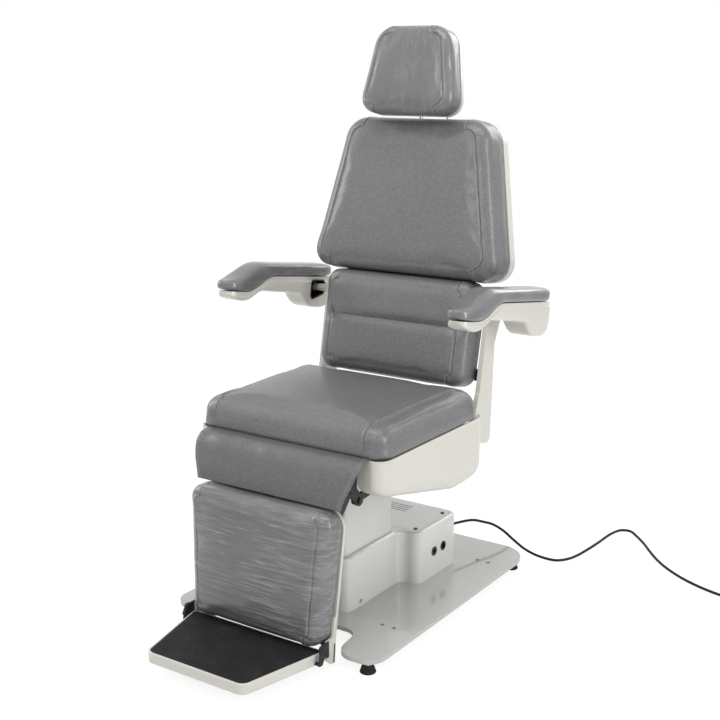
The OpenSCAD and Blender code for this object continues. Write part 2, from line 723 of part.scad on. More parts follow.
frame_low = mast_top;
frame_h = 42;
frame_high = frame_low + frame_h;
rail_x = 165;
rail_w = 30;
rail_wall = 3;
rail_front = -208;
rail_rear = 150;
cross_w = 28;
cross_places = [-200, -130, 0, 112];
lug_t = 8;
lug_boss_r = 23;
module rail(length) difference() {
  cube([rail_w, length, frame_h]);
  translate([rail_wall, -over, rail_wall])
    cube([rail_w - 2 * rail_wall, length + 2 * over, frame_h - 2 * rail_wall]);
}
module seat_frame() color(black_paint) placed() {
  for (x = [-rail_x - rail_w / 2, rail_x - rail_w / 2])
    translate([x, rail_front, frame_low]) rail(rail_rear - rail_front);
  for (y = cross_places)
    translate([-rail_x + rail_w / 2, y, frame_low])
      cube([2 * rail_x - rail_w, cross_w, frame_h]);
  for (side = [-1, 1])
    translate([side * (rail_x + rail_w / 2 + lug_t / 2), 0, 0]) rotate([90, 0, 90])
      translate([0, 0, -lug_t / 2]) difference() {
        linear_extrude(lug_t) union() {
          translate([cross_places[3], frame_low]) square([pivot_y - cross_places[3], frame_h]);
          translate([pivot_y, pivot_z]) circle(r = lug_boss_r);
        }
        translate([pivot_y, pivot_z, -over])
          cylinder(r = shaft_r + bore_gap, h = lug_t + 2 * over);
      }
}

board_t = seat_low - frame_high - run_gap;
board_half = 226;
board_front = -212;
board_rear = 160;
board_r = 30;
module seat_board() color(board_brown) placed() translate([0, 0, frame_high]) linear_extrude(board_t)
  polygon(outline([[-board_half, board_front, board_r], [board_half, board_front, board_r],
    [board_half, board_rear, board_r], [-board_half, board_rear, board_r]]));

seat_round = 32;
seat_crown = 9;
seat_taper = 2;
seat_front_corner = 45;
seat_rear_corner = 34;
seat_shares = [0.2, 0.4, 0.6, 0.8];
module seat_cushion() color(vinyl_grey) placed() rotate([-90, 0, 0])
  cushion(seat_front, seat_rear, seat_half - seat_taper, seat_half, -seat_high + seat_crown, -seat_low,
    seat_round, seat_front_corner, seat_rear_corner, seat_crown, seat_shares);

// Seat cover: a skirt whose lower edge falls to the rear and whose walls turn in there
skirt_top = seat_low - run_gap;
skirt_r = 34;
skirt_turn = 16;
skirt_turn_share = 0.28;
skirt_flat_y = 60;
skirt_wall = 4;
skirt_rise = 32;
skirt_mouth_half = 195;
skirt_mouth_top = 448;
skirt_open_half = 248;
// Height of the skirt's lower edge at the place y
function skirt_low(y) = y > skirt_flat_y
  ? skirt_low_rear + skirt_rise * pow(max(0, (y - skirt_flat_y) / (skirt_rear - skirt_flat_y)), 6)
  : skirt_low_rear + (skirt_low_front - skirt_low_rear) * (skirt_flat_y - y) / (skirt_flat_y - skirt_front);
skirt_corners = taper_corners(skirt_half, skirt_front, skirt_half, skirt_rear, skirt_r, skirt_r);
// Extra points along the straight sides let the lower edge follow its curve
side_shares = [0.2, 0.4, 0.55, 0.7, 0.8, 0.9];
function skirt_ring(d) =
  let (o = outline(skirt_corners, d), k = arc_steps + 1)
  let (right0 = o[2 * k - 1], right1 = o[2 * k], left0 = o[4 * k - 1], left1 = o[0])
  concat([for (i = [k:2 * k - 1]) o[i]], [for (s = side_shares) right0 + (right1 - right0) * s],
    [for (i = [2 * k:4 * k - 1]) o[i]],
    [for (i = [len(side_shares) - 1:-1:0]) left1 + (left0 - left1) * side_shares[i]],
    [for (i = [0:k - 1]) o[i]]);
// share 0 is the lower edge and share 1 the rim
function skirt_level(d, share) = [for (p = skirt_ring(d))
  [p.x, p.y, skirt_low(p.y) + (skirt_top - skirt_low(p.y)) * share]];
skirt_band_shares = [[1, 0], [0.55, 0.02], [0.22, 0.07], [0.05, 0.15], [0, 0.28]];
function skirt_rings(d) = [for (b = skirt_band_shares) skirt_level(d + skirt_turn * b[0], b[1])];
function raised(ring, h) = [for (p = ring) p + [0, 0, h]];
skirt_tab_t = 5;
skirt_tab_w = 24;
skirt_tab_in = 204;
skirt_tab_places = [-160, 36];
module seat_cover() color(cream) placed() union() {
  skirt();
  for (x = [-skirt_half + skirt_wall / 2, skirt_tab_in], y = skirt_tab_places)
    translate([x, y, frame_high - skirt_tab_t])
      cube([skirt_half - skirt_wall / 2 - skirt_tab_in, skirt_tab_w, skirt_tab_t]);
}
module skirt() difference() {
  loft(concat(skirt_rings(0), [skirt_level(0, 1)]), true);
  loft(concat([raised(skirt_level(skirt_wall + skirt_turn, 0), -over)], skirt_rings(skirt_wall),
    [raised(skirt_level(skirt_wall, 1), over)]), true);
  translate([-skirt_mouth_half, skirt_front - over, skirt_low_front - 2 * skirt_rise])
    cube([2 * skirt_mouth_half, 2 * skirt_r, skirt_mouth_top - skirt_low_front + 2 * skirt_rise]);
  translate([-skirt_open_half, skirt_rear - skirt_r, skirt_low_rear - skirt_rise])
    cube([2 * skirt_open_half, 2 * skirt_r, skirt_top - skirt_low_rear + 2 * skirt_rise]);
}

// Legrest bearings under the seat frame
knee_ear_x = 148;
knee_ear_t = 8;
knee_boss_r = 17;
knee_pin_r = 8;
module knee_brackets() color(black_paint) placed() for (side = [-1, 1])
  translate([side * knee_ear_x - knee_ear_t / 2, 0, 0]) rotate([90, 0, 90]) difference() {
    linear_extrude(knee_ear_t) union() {
      translate([knee_y, knee_z]) circle(r = knee_boss_r);
      polygon([[knee_y - knee_boss_r, knee_z], [knee_y, knee_z - knee_boss_r],
        [cross_places[0] + cross_w, frame_low - knee_boss_r], [cross_places[0] + cross_w, frame_low],
        [cross_places[0], frame_low], [rail_front, knee_z + knee_boss_r]]);
    }
    translate([knee_y, knee_z, -over])
      cylinder(r = knee_pin_r + fit_gap, h = knee_ear_t + 2 * over);
  }

arm_plate_t = 7;
leg_arm_x = knee_ear_x + knee_ear_t / 2 + side_gap + arm_plate_t / 2;
knee_pin_head_r = 11;
knee_pin_head_t = 3;
knee_pin_len = leg_arm_x - knee_ear_x + (arm_plate_t + knee_ear_t) / 2 + run_gap;
module knee_pins() color(steel) placed() for (side = [-1, 1])
  translate([side * (knee_ear_x - knee_ear_t / 2), knee_y, knee_z]) rotate([0, side * 90, 0]) {
    cylinder(r = knee_pin_r, h = knee_pin_len);
    for (z = [-knee_pin_head_t, knee_pin_len])
      translate([0, 0, z]) cylinder(r = knee_pin_head_r, h = knee_pin_head_t);
  }

// Recline actuator: its rod pulls the lever on the recline shaft
pull_x = -115;
pull_lever_r = 45;
swing = 80;
pull_z = pivot_z - pull_lever_r * (1 + cos(swing / 2)) / 2;
pull_tube_r = 17;
pull_rod_r = 8;
pull_tube_front = -75;
pull_tube_rear = 122;
pull_gear_len = 54;
pull_motor_x = -34;
pull_motor_len = 95;
pull_pin_r = 5;
pull_travel = 2 * pull_lever_r * sin(swing / 2);
pull_pin_y = pivot_y + pull_lever_r * sin(swing / 2);
module recline_actuator() color(black_paint) placed() translate([pull_x, 0, pull_z]) difference() {
  union() {
    translate([-pull_tube_r + pull_motor_x, pull_tube_front - pull_gear_len, -pull_tube_r])
      cube([2 * pull_tube_r - pull_motor_x, pull_gear_len, frame_low - pull_z + pull_tube_r]);
    translate([0, pull_tube_front, 0]) rotate([-90, 0, 0])
      cylinder(r = pull_tube_r, h = pull_tube_rear - pull_tube_front);
    translate([pull_motor_x, pull_tube_front, 0]) rotate([-90, 0, 0])
      cylinder(r = pull_tube_r - side_gap, h = pull_motor_len);
  }
  translate([0, pull_tube_front, 0]) rotate([-90, 0, 0])
    cylinder(r = pull_rod_r + fit_gap, h = pull_tube_rear - pull_tube_front + over);
}

pull_lever_t = 8;
fork_ear_t = 5;
fork_half_h = 8;
fork_throat = 30;
fork_base = 6;
fork_nose = 9;
pull_rod_hidden = 60;
module recline_rod() color(steel) placed() translate([pull_x, pull_pin_y, pull_z]) {
  translate([0, -fork_throat - fork_base, 0]) rotate([90, 0, 0])
    cylinder(r = pull_rod_r, h = pull_pin_y - fork_throat - fork_base - pull_tube_rear + pull_rod_hidden);
  translate([-pull_lever_t / 2 - side_gap - fork_ear_t, -fork_throat - fork_base, -fork_half_h])
    cube([pull_lever_t + 2 * (side_gap + fork_ear_t), fork_base, 2 * fork_half_h]);
  for (x = [-pull_lever_t / 2 - side_gap - fork_ear_t, pull_lever_t / 2 + side_gap])
    translate([x, -fork_throat - over, -fork_half_h])
      cube([fork_ear_t, fork_throat + fork_nose + over, 2 * fork_half_h]);
  translate([-pull_lever_t / 2 - side_gap - fork_ear_t, 0, 0]) rotate([0, 90, 0])
    cylinder(r = pull_pin_r, h = pull_lever_t + 2 * (side_gap + fork_ear_t));
}

// Backrest

module back_space() translate([0, pivot_y, pivot_z]) rotate([-back_lean, 0, 0]) children();

// Recline shaft with its two levers, which point down and to the rear at rest
lever_t = 7;
lever_eye_r = 12;
link_pin_r = 5;
pull_eye_r = 12;
pull_eye_wall = 5;
lever_boss_r = 21;
module lever(length, eye, hole, thick) difference() {
  linear_extrude(thick) union() {
    circle(r = lever_boss_r);
    polygon([[-shaft_r, 0], [shaft_r, 0], [eye, -length], [-eye, -length]]);
    translate([0, -length]) circle(r = eye);
  }
  translate([0, -length, -over]) cylinder(r = hole, h = thick + 2 * over);
}
module recline_shaft() color(steel) placed() translate([0, pivot_y, pivot_z]) {
  rotate([0, 90, 0]) translate([0, 0, -strut_in - strut_t])
    cylinder(r = shaft_r, h = 2 * (strut_in + strut_t));
  translate([pull_x - pull_lever_t / 2, 0, 0]) rotate([90, 0, 90]) rotate([0, 0, swing / 2])
    lever(pull_lever_r, pull_eye_r + pull_eye_wall, pull_eye_r, pull_lever_t);
  translate([leg_arm_x - lever_t / 2, 0, 0]) rotate([90, 0, 90]) rotate([0, 0, swing / 2])
    lever(lever_r, lever_eye_r, link_pin_r + bore_gap, lever_t);
}

// Link between backrest and legrest: its pins are as far apart as the two axes
link_t = 7;
link_half_h = 9;
link_head_r = 8;
link_head_t = 3;
link_back_y = pivot_y + lever_r * sin(swing / 2);
link_back_z = pivot_z - lever_r * cos(swing / 2);
link_knee_y = knee_y + lever_r * sin(swing / 2);
link_knee_z = knee_z - lever_r * cos(swing / 2);
link_pitch = atan2(link_back_z - link_knee_z, link_back_y - link_knee_y);
link_len = norm([link_back_y - link_knee_y, link_back_z - link_knee_z]);
module coupling_link() color(steel) placed()
  translate([leg_arm_x - lever_t / 2 - side_gap - link_t, link_knee_y, link_knee_z])
    rotate([90, 0, 90]) rotate([0, 0, link_pitch]) {
      linear_extrude(link_t) union() {
        for (y = [0, link_len]) translate([y, 0]) circle(r = link_half_h + side_gap);
        translate([0, -link_half_h]) square([link_len, 2 * link_half_h]);
      }
      for (y = [0, link_len]) translate([y, 0, 0]) {
        cylinder(r = link_pin_r, h = link_t + side_gap + lever_t + link_head_t + run_gap);
        translate([0, 0, link_t + side_gap + lever_t + run_gap])
          cylinder(r = link_head_r, h = link_head_t);
      }
    }

// Side strut, its outline given along the back
strut_front_low = 26;
strut_front_mid = 2;
strut_front_high = 4;
strut_rear_low = 84;
strut_rear_mid = 47;
strut_rear_head = 66;
strut_foot = -34;
strut_mid = 95;
strut_waist = 215;
strut_head = 338;
strut_r = 16;
strut_corners = [
  [-strut_front_low, strut_foot, strut_r], [strut_rear_low, strut_foot, strut_r],
  [strut_rear_mid, strut_waist, strut_r], [strut_rear_head, bar_along - strut_r, strut_r],
  [strut_rear_head, strut_head, strut_r], [-strut_front_high, strut_head, strut_r],
  [-strut_front_mid, strut_mid, strut_r]];
module side_strut(side) color(cream) placed() back_space()
  translate([side * (strut_in + strut_t / 2) - strut_t / 2, 0, 0]) rotate([90, 0, 90]) difference() {
    linear_extrude(strut_t) polygon(outline(strut_corners));
    translate([0, 0, -over]) cylinder(r = shaft_r + bore_gap, h = strut_t + 2 * over);
    translate([bar_depth, bar_along, -over])
      cylinder(r = bar_r + fit_gap, h = strut_t + 2 * over);
  }
module side_strut_left() side_strut(1);
module side_strut_right() side_strut(-1);

// Frame behind the cushions, with two uprights that cradle the crossbar
upright_in = 78;
upright_w = 26;
upright_depth = 28;
upright_high = 700;
tie_low = 118;
tie_h = 28;
module back_frame() color(black_paint) placed() back_space() difference() {
  union() {
    translate([-strut_in, back_board, tie_low]) cube([2 * strut_in, upright_depth, tie_h]);
    for (x = [-upright_in - upright_w, upright_in])
      translate([x, back_board, tie_low]) cube([upright_w, upright_depth, upright_high - tie_low]);
  }
  for (x = [-upright_in - upright_w, upright_in]) {
    translate([x - over, bar_depth, bar_along]) rotate([0, 90, 0])
      cylinder(r = bar_r + fit_gap, h = upright_w + 2 * over);
    translate([x - over, back_board - over, bar_along - bar_r - fit_gap])
      cube([upright_w + 2 * over, bar_depth - back_board + over, 2 * (bar_r + fit_gap)]);
  }
}

shell_half = 33;
arm_wall_t = 8;
bar_reach = arm_x + shell_half - arm_wall_t - run_gap;
module crossbar() color(cream) placed() back_space()
  translate([-bar_reach, bar_depth, bar_along]) rotate([0, 90, 0])
    cylinder(r = bar_r, h = 2 * bar_reach);

board_back_t = 5;
board_inset = 12;
board_corner_r = 48;
module back_board_plate(z0, z1, a0, a1) color(board_brown) placed() back_space()
  translate([0, back_board, 0]) rotate([90, 0, 0]) linear_extrude(board_back_t)
    polygon(outline(taper_corners(a0 - board_inset, z0 + board_inset, a1 - board_inset,
      z1 - board_inset, board_corner_r, board_corner_r)));
module lumbar_board() back_board_plate(lumbar_low, lumbar_high, lumbar_half, lumbar_half);
module upper_board() back_board_plate(upper_low, upper_high, upper_half_low, upper_half_high);

cushion_rear = back_board - board_back_t - run_gap;
lumbar_round = 22;
lumbar_crown = 5;
lumbar_taper = 3;
lumbar_corner = 36;
channel_share = 0.56;
channel_z = lumbar_low + (lumbar_high - lumbar_low) * channel_share;
channel_deep = 9;
channel_wide = 13;
lumbar_shares = [0.2, 0.38, 0.48, 0.54, 0.58, 0.62, 0.7, 0.85];
module lumbar_cushion() color(vinyl_grey) placed() back_space()
  cushion(lumbar_low, lumbar_high, lumbar_half - lumbar_taper, lumbar_half, -back_face, cushion_rear,
    lumbar_round, lumbar_corner, lumbar_corner, lumbar_crown, lumbar_shares, channel_z, channel_deep,
    channel_wide);

upper_round = 24;
upper_crown = 6;
upper_corner_low = 62;
upper_corner_high = 52;
module upper_cushion() color(vinyl_grey) placed() back_space()
  cushion(upper_low, upper_high, upper_half_low, upper_half_high, -back_face, cushion_rear,
    upper_round, upper_corner_low, upper_corner_high, upper_crown);

// Rear shell: a moulded tray round the back of the upper cushion
shell_lip = 2;
shell_round = 20;
shell_wall = 3.5;
shell_front = cushion_rear + run_gap;
shell_shares = [0.2, 0.5, 0.8];
shell_power = 6;
shell_ring_points = 28;
module tray(z0, z1, a0, a1, front, rear, r, c0, c1)
  loft([for (s = stations(z0, z1, r, c0, c1, shell_shares))
    soft_ring(a0 + (a1 - a0) * (s[0] - z0) / (z1 - z0) - s[1], front, rear - s[2], front + shell_lip,
      2 * shell_power, shell_power, s[0], shell_ring_points)]);
shell_slot_gap = 3;
shell_boss_h = 36;
shell_boss_places = [420, 560];
module back_shell() color(cream) placed() back_space() union() {
  moulded_tray();
  for (x = [-upright_in - upright_w, upright_in], z = shell_boss_places)
    translate([x, back_board + upright_depth, z])
      cube([upright_w, shell_rear - shell_wall / 2 - back_board - upright_depth, shell_boss_h]);
}
module moulded_tray() difference() {
  tray(upper_low, upper_high, upper_half_low, upper_half_high, shell_front, shell_rear, shell_round,
    upper_corner_low, upper_corner_high);
  tray(upper_low + shell_wall, upper_high - shell_wall, upper_half_low - shell_wall,
    upper_half_high - shell_wall, shell_front - shell_round, shell_rear - shell_wall,
    shell_round - shell_wall, upper_corner_low - shell_wall, upper_corner_high - shell_wall);
  translate([-upright_in - upright_w - shell_slot_gap, shell_front - over, upper_low - over])
    cube([2 * (upright_in + upright_w + shell_slot_gap),
      back_board + upright_depth - shell_front + over + side_gap, shell_round]);
  for (x = [-post_half, post_half]) translate([x, post_depth, upper_high - shell_round])
    cylinder(r = post_r + shell_slot_gap, h = shell_round + over);
}

// Headrest slide
post_depth = 42;
guide_low = 640;
guide_high = 712;
guide_half_d = 11;
post_low = 600;
post_high = 836;
head_travel = 80;
module headrest_guide() color(black_paint) placed() back_space() difference() {
  translate([-upright_in, post_depth - guide_half_d, guide_low])
    cube([2 * upright_in, 2 * guide_half_d, guide_high - guide_low]);
  for (x = [-post_half, post_half]) translate([x, post_depth, guide_low - over])
    cylinder(r = post_r + bore_gap, h = guide_high - guide_low + 2 * over);
}

tilt_depth = 2;
tilt_along = 850;
head_block_h = 26;
head_block_half = 52;
head_ear_t = 8;
head_ear_x = 26;
tilt_pin_r = 5;
tilt_boss_r = 12;
module headrest_posts() color(steel) placed() back_space() {
  for (x = [-post_half, post_half]) translate([x, post_depth, post_low])
    cylinder(r = post_r, h = post_high - post_low);
  translate([-head_block_half, post_depth - guide_half_d, post_high])
    cube([2 * head_block_half, 2 * guide_half_d, head_block_h]);
  for (side = [-1, 1]) translate([side * head_ear_x - head_ear_t / 2, 0, 0]) rotate([90, 0, 90])
    linear_extrude(head_ear_t) union() {
      translate([tilt_depth, tilt_along]) circle(r = tilt_boss_r);
      translate([tilt_depth, tilt_along - tilt_boss_r])
        square([post_depth - guide_half_d - tilt_depth, 2 * tilt_boss_r]);
    }
  translate([-head_ear_x - head_lug_reach, tilt_depth, tilt_along]) rotate([0, 90, 0])
    cylinder(r = tilt_pin_r, h = 2 * (head_ear_x + head_lug_reach));
}

head_rear = -head_face + head_pad_t + head_shell_t;
head_shell_round = 14;
head_lug_t = 8;
head_lug_x = head_ear_x + head_ear_t / 2 + side_gap / 2 + head_lug_t / 2;
head_lug_reach = head_lug_x - head_ear_x + head_lug_t / 2;
head_lug_seat = 8;
module headrest_shell() color(cream) placed() back_space() {
  tray(head_low, head_high, head_half_low, head_half_high, -head_face + head_pad_t, head_rear,
    head_shell_round, head_corner_low, head_corner_high);
  for (side = [-1, 1]) translate([side * head_lug_x - head_lug_t / 2, 0, 0]) rotate([90, 0, 90])
    difference() {
      linear_extrude(head_lug_t) union() {
        translate([tilt_depth, tilt_along]) circle(r = tilt_boss_r);
        polygon([[head_rear - head_lug_seat, tilt_along - 2 * tilt_boss_r],
          [tilt_depth, tilt_along - tilt_boss_r], [tilt_depth, tilt_along + tilt_boss_r],
          [head_rear - head_lug_seat, tilt_along + 2 * tilt_boss_r]]);
      }
      translate([tilt_depth, tilt_along, -over])
        cylinder(r = tilt_pin_r + bore_gap, h = head_lug_t + 2 * over);
    }
}
head_round = 17;
head_crown = 4;
head_corner_low = 48;
head_corner_high = 44;
head_shares = [0.33, 0.67];
module headrest_cushion() color(vinyl_grey) placed() back_space()
  cushion(head_low, head_high, head_half_low, head_half_high, -head_face + head_crown,
    -head_face + head_pad_t - run_gap, head_round, head_corner_low, head_corner_high, head_crown,
    head_shares);

// Armrests: swept from the rear end to a drooping tip
bar_y = pivot_y + bar_depth * cos(back_lean) + bar_along * sin(back_lean);
bar_z = pivot_z - bar_depth * sin(back_lean) + bar_along * cos(back_lean);
module arm_space(side) translate([side * arm_x, bar_y, bar_z]) rotate([-arm_drop, 0, 0]) children();
arm_tail = 72;
arm_base = 28;
arm_low_drop = 39;
arm_high_drop = 43;
arm_low_shares = [0.6, 0.85];
arm_high_shares = [0.68, 0.97];
// Drop of an edge between two shares of the arm's length
function arm_fall(u, drop, shares) =
  drop * (1 - cos(180 * max(0, min(1, (u - shares[0]) / (shares[1] - shares[0]))))) / 2;
function arm_low(u) = arm_base - arm_fall(u, arm_low_drop, arm_low_shares);
function arm_high(u) = arm_base + arm_pad_t - arm_fall(u, arm_high_drop, arm_high_shares);
arm_shares = [0, 0.01, 0.035, 0.08, 0.14, 0.35, 0.58, 0.64, 0.7, 0.76, 0.82, 0.87, 0.91, 0.95, 0.98, 1];
// Fullness of the pad's section at each station: rounded in plan at both ends
arm_round_share = 0.14;
arm_end_share = 0.15;
function arm_full(u) = let (near = max(0, 1 - u / arm_round_share, 1 - (1 - u) / arm_round_share))
  max(arm_end_share, sqrt(1 - near * near));
function arm_place(u) = arm_tail - u * (arm_tail + arm_reach);
arm_ring_points = 20;
arm_top_power = 3;
arm_foot_power = 5;
function arm_section(u) =
  let (full = arm_full(u), mid = -(arm_low(u) + arm_high(u)) / 2)
  let (deep = (arm_high(u) - arm_low(u)) / 2 * sqrt(full))
  soft_ring(arm_half * full, mid - deep, mid + deep - run_gap, mid, arm_top_power, arm_foot_power,
    arm_place(u), arm_ring_points);
module armrest_pad(side) color(vinyl_grey) placed() arm_space(side) rotate([-90, 0, 0])
  loft([for (i = [len(arm_shares) - 1:-1:0]) arm_section(arm_shares[i])]);
module armrest_pad_left() armrest_pad(1);
module armrest_pad_right() armrest_pad(-1);

// Shell under the pad: its lower edge swells into a lobe round the bar. Its points are
// shares of the arm's reach and of the lobe's depth.
lobe_depth = 55;
shell_edge_shares = [
  [0.15, 0.46], [0.139, -0.11], [0.107, -0.8], [0.053, -1], [-0.067, -0.98], [-0.128, -0.84],
  [-0.176, -0.58], [-0.241, -0.33], [-0.595, -0.2], [-0.679, -0.2], [-0.743, -0.4], [-0.795, -0.58],
  [-0.862, -0.62], [-0.943, -0.47], [-0.971, -0.24]];
shell_edge = smooth([for (p = shell_edge_shares) [p.x * arm_reach, p.y * lobe_depth]], 3);
shell_back = shell_edge[0].x;
shell_tip = shell_edge[len(shell_edge) - 1].x;
shell_tip_half = 27;
shell_tip_r = 24;
shell_tip_taper = 110;
shell_back_r = 14;
// Its top follows the pad's own stations, so that the gap between them is the same all along
pad_line = [for (i = [len(arm_shares) - 1:-1:0]) [arm_place(arm_shares[i]), arm_low(arm_shares[i])]];
shell_top = concat([[shell_tip, lookup(shell_tip, pad_line)]],
  [for (p = pad_line) if (p.x > shell_tip && p.x < shell_back) p],
  [[shell_back, lookup(shell_back, pad_line)]]);
shell_plan = [
  [-shell_tip_half, shell_tip, shell_tip_r], [shell_tip_half, shell_tip, shell_tip_r],
  [shell_half, shell_tip + shell_tip_taper, shell_tip_taper / 2], [shell_half, shell_back, shell_back_r],
  [-shell_half, shell_back, shell_back_r], [-shell_half, shell_tip + shell_tip_taper, shell_tip_taper / 2]];
shell_step_h = 12;
shell_step = 2;
hub_wall = 4;
hub_len = 40;
pocket_front = 42;
pocket_back = 17;
pocket_low = 34;
pocket_high = 18;
pocket_r = 10;
mark_along = 72;
mark_len = 16;
mark_h = 4;
mark_drop = 18;
module arm_side(x, thick) translate([x, 0, 0]) rotate([90, 0, 90]) linear_extrude(thick) children();
module armrest_shell(side) color(cream) placed() arm_space(side) difference() {
  intersection() {
    arm_side(-shell_half, 2 * shell_half) polygon(concat(shell_edge, shell_top));
    translate([0, 0, -arm_reach]) linear_extrude(2 * arm_reach) polygon(outline(shell_plan));
  }
  for (x = [-shell_half - over, shell_half - shell_step]) arm_side(x, shell_step + over)
    polygon(concat([for (p = shell_top) p - [0, shell_step_h]],
      [for (i = [len(shell_top) - 1:-1:0]) shell_top[i] + [0, over]]));
  arm_side(side > 0 ? -shell_half - over : arm_wall_t - shell_half, 2 * shell_half - arm_wall_t + over)
    polygon(outline([[-pocket_front, -pocket_low, pocket_r], [pocket_back, -pocket_low / 2, pocket_r],
      [pocket_back, pocket_high, pocket_r], [-pocket_front, pocket_high, pocket_r]]));
  arm_side(side > 0 ? shell_half - shell_step : -shell_half - over, shell_step + over)
    translate([-mark_along, -mark_drop]) square([mark_len, mark_h]);
}
module armrest_shell_left() armrest_shell(1);
module armrest_shell_right() armrest_shell(-1);

// Bush in the shell's pocket that turns on the bar
module armrest_hub(side) color(black_paint) placed() arm_space(side)
  translate([side * (shell_half - arm_wall_t), 0, 0]) rotate([0, -side * 90, 0]) difference() {
    cylinder(r = bar_r + hub_wall, h = hub_len);
    translate([0, 0, -over]) cylinder(r = bar_r + bore_gap, h = hub_len + 2 * over);
  }
module armrest_hub_left() armrest_hub(1);
module armrest_hub_right() armrest_hub(-1);

// Legrest

module leg_space() translate([0, knee_y, knee_z]) rotate([-leg_lean, 0, 0]) children();

// Arms that carry the legrest; the left one has the lever that the link drives
leg_boss_r = 16;
leg_plate_front = -leg_face + leg_pad_t + run_gap;
leg_plate_back = leg_plate_front + leg_plate_t;
leg_arm_low = 112;
leg_arm_high = 36;
leg_tie_low = 104;
leg_tie_h = 20;
module legrest_arms() color(black_paint) placed() difference() {
  union() {
    leg_space() {
      for (side = [-1, 1]) translate([side * leg_arm_x - arm_plate_t / 2, 0, 0]) rotate([90, 0, 90])
        linear_extrude(arm_plate_t) union() {
          circle(r = leg_boss_r);
          polygon([[leg_plate_back, -leg_arm_low], [0, -leg_boss_r], [0, leg_boss_r],
            [leg_plate_back, -leg_arm_high]]);
        }
      translate([-leg_arm_x, leg_plate_back, -leg_tie_low]) cube([2 * leg_arm_x, leg_tie_h, leg_tie_h]);
    }
    translate([leg_arm_x - lever_t / 2, knee_y, knee_z]) rotate([90, 0, 90]) rotate([0, 0, swing / 2])
      lever(lever_r, lever_eye_r, link_pin_r + run_gap, lever_t);
  }
  translate([-leg_arm_x - arm_plate_t, knee_y, knee_z]) rotate([0, 90, 0])
    cylinder(r = knee_pin_r + bore_gap, h = 2 * (leg_arm_x + arm_plate_t));
}

// Plate behind the pad, with a tail at each side that reaches down past it
leg_plate_edge = 1.5;
leg_plate_r = 44;
tail_low = 372;
tail_w = 27;
tail_in = leg_half_low - tail_w;
tail_gap_high = 338;
tail_r = 8;
leg_plate_corners = [
  [-leg_half_low - leg_plate_edge, -tail_low, tail_r], [-tail_in, -tail_low, tail_r],
  [-tail_in, -tail_gap_high, tail_r], [tail_in, -tail_gap_high, tail_r], [tail_in, -tail_low, tail_r],
  [leg_half_low + leg_plate_edge, -tail_low, tail_r],
  [leg_half_high + leg_plate_edge, -leg_high + leg_plate_edge, leg_plate_r],
  [-leg_half_high - leg_plate_edge, -leg_high + leg_plate_edge, leg_plate_r]];
module legrest_plate() color(cream) placed() leg_space()
  translate([0, leg_plate_back, 0]) rotate([90, 0, 0]) linear_extrude(leg_plate_t)
    polygon(outline(leg_plate_corners));

leg_pad_round = 21;
leg_pad_crown = 5;
leg_corner_low = 40;
leg_corner_high = 34;
module legrest_pad() color(vinyl_grey) placed() leg_space()
  cushion(-leg_low, -leg_high, leg_half_low, leg_half_high, -leg_face, -leg_face + leg_pad_t,
    leg_pad_round, leg_corner_low, leg_corner_high, leg_pad_crown);

// Footplate brackets: an angle on each tail with a foot that stops the footplate
fold_y = -385;
fold_z = 66;
fold_boss_r = 10;
fold_pin_r = 4;
fold_head_r = 7;
fold_head_t = 3;
bracket_t = 5;
bracket_x = leg_half_low + leg_plate_edge + bracket_t;
bracket_flange_t = 4;
bracket_low = 20;
bracket_stop_y = -404;
hinge_tab_t = 4;
hinge_tab_front = -418;
hinge_tab_rear = -392;
hinge_tab_in = tail_in + hinge_tab_t / 2;
tread_low = tread_top - tread_t;
hinge_x = bracket_x + bracket_t + side_gap;
module both_sides() for (side = [0, 1]) mirror([side, 0, 0]) children();
module foot_brackets() color(black_paint) placed() both_sides() {
  leg_space() translate([tail_in, leg_plate_front - bracket_flange_t, -tail_low])
    cube([bracket_x + bracket_t - tail_in, bracket_flange_t, tail_low - leg_low - run_gap]);
  translate([bracket_x, 0, 0]) rotate([90, 0, 90]) difference() {
    linear_extrude(bracket_t) union() {
      translate([fold_y, fold_z]) circle(r = fold_boss_r);
      polygon([[fold_y, fold_z + fold_boss_r], [fold_y, fold_z - fold_boss_r],
        [knee_y + leg_plate_front - bracket_low - 2 * fold_boss_r, bracket_low],
        [knee_y + leg_plate_front - bracket_low - fold_boss_r, bracket_low],
        [knee_y + leg_plate_front - bracket_low - fold_boss_r, fold_z - fold_boss_r]]);
    }
    translate([fold_y, fold_z, -over])
      cylinder(r = fold_pin_r + fit_gap, h = bracket_t + 2 * over);
  }
  translate([tail_in, bracket_stop_y, tread_low - 2 * hinge_tab_t - run_gap])
    cube([bracket_x + bracket_t - tail_in - hinge_tab_t,
      knee_y + leg_plate_front - bracket_low - fold_boss_r - bracket_stop_y, hinge_tab_t]);
}
module fold_pins() color(steel) placed() both_sides() translate([bracket_x, fold_y, fold_z])
  rotate([0, 90, 0]) {
    cylinder(r = fold_pin_r, h = 2 * bracket_t + side_gap + run_gap);
    translate([0, 0, 2 * bracket_t + side_gap + run_gap]) cylinder(r = fold_head_r, h = fold_head_t);
  }
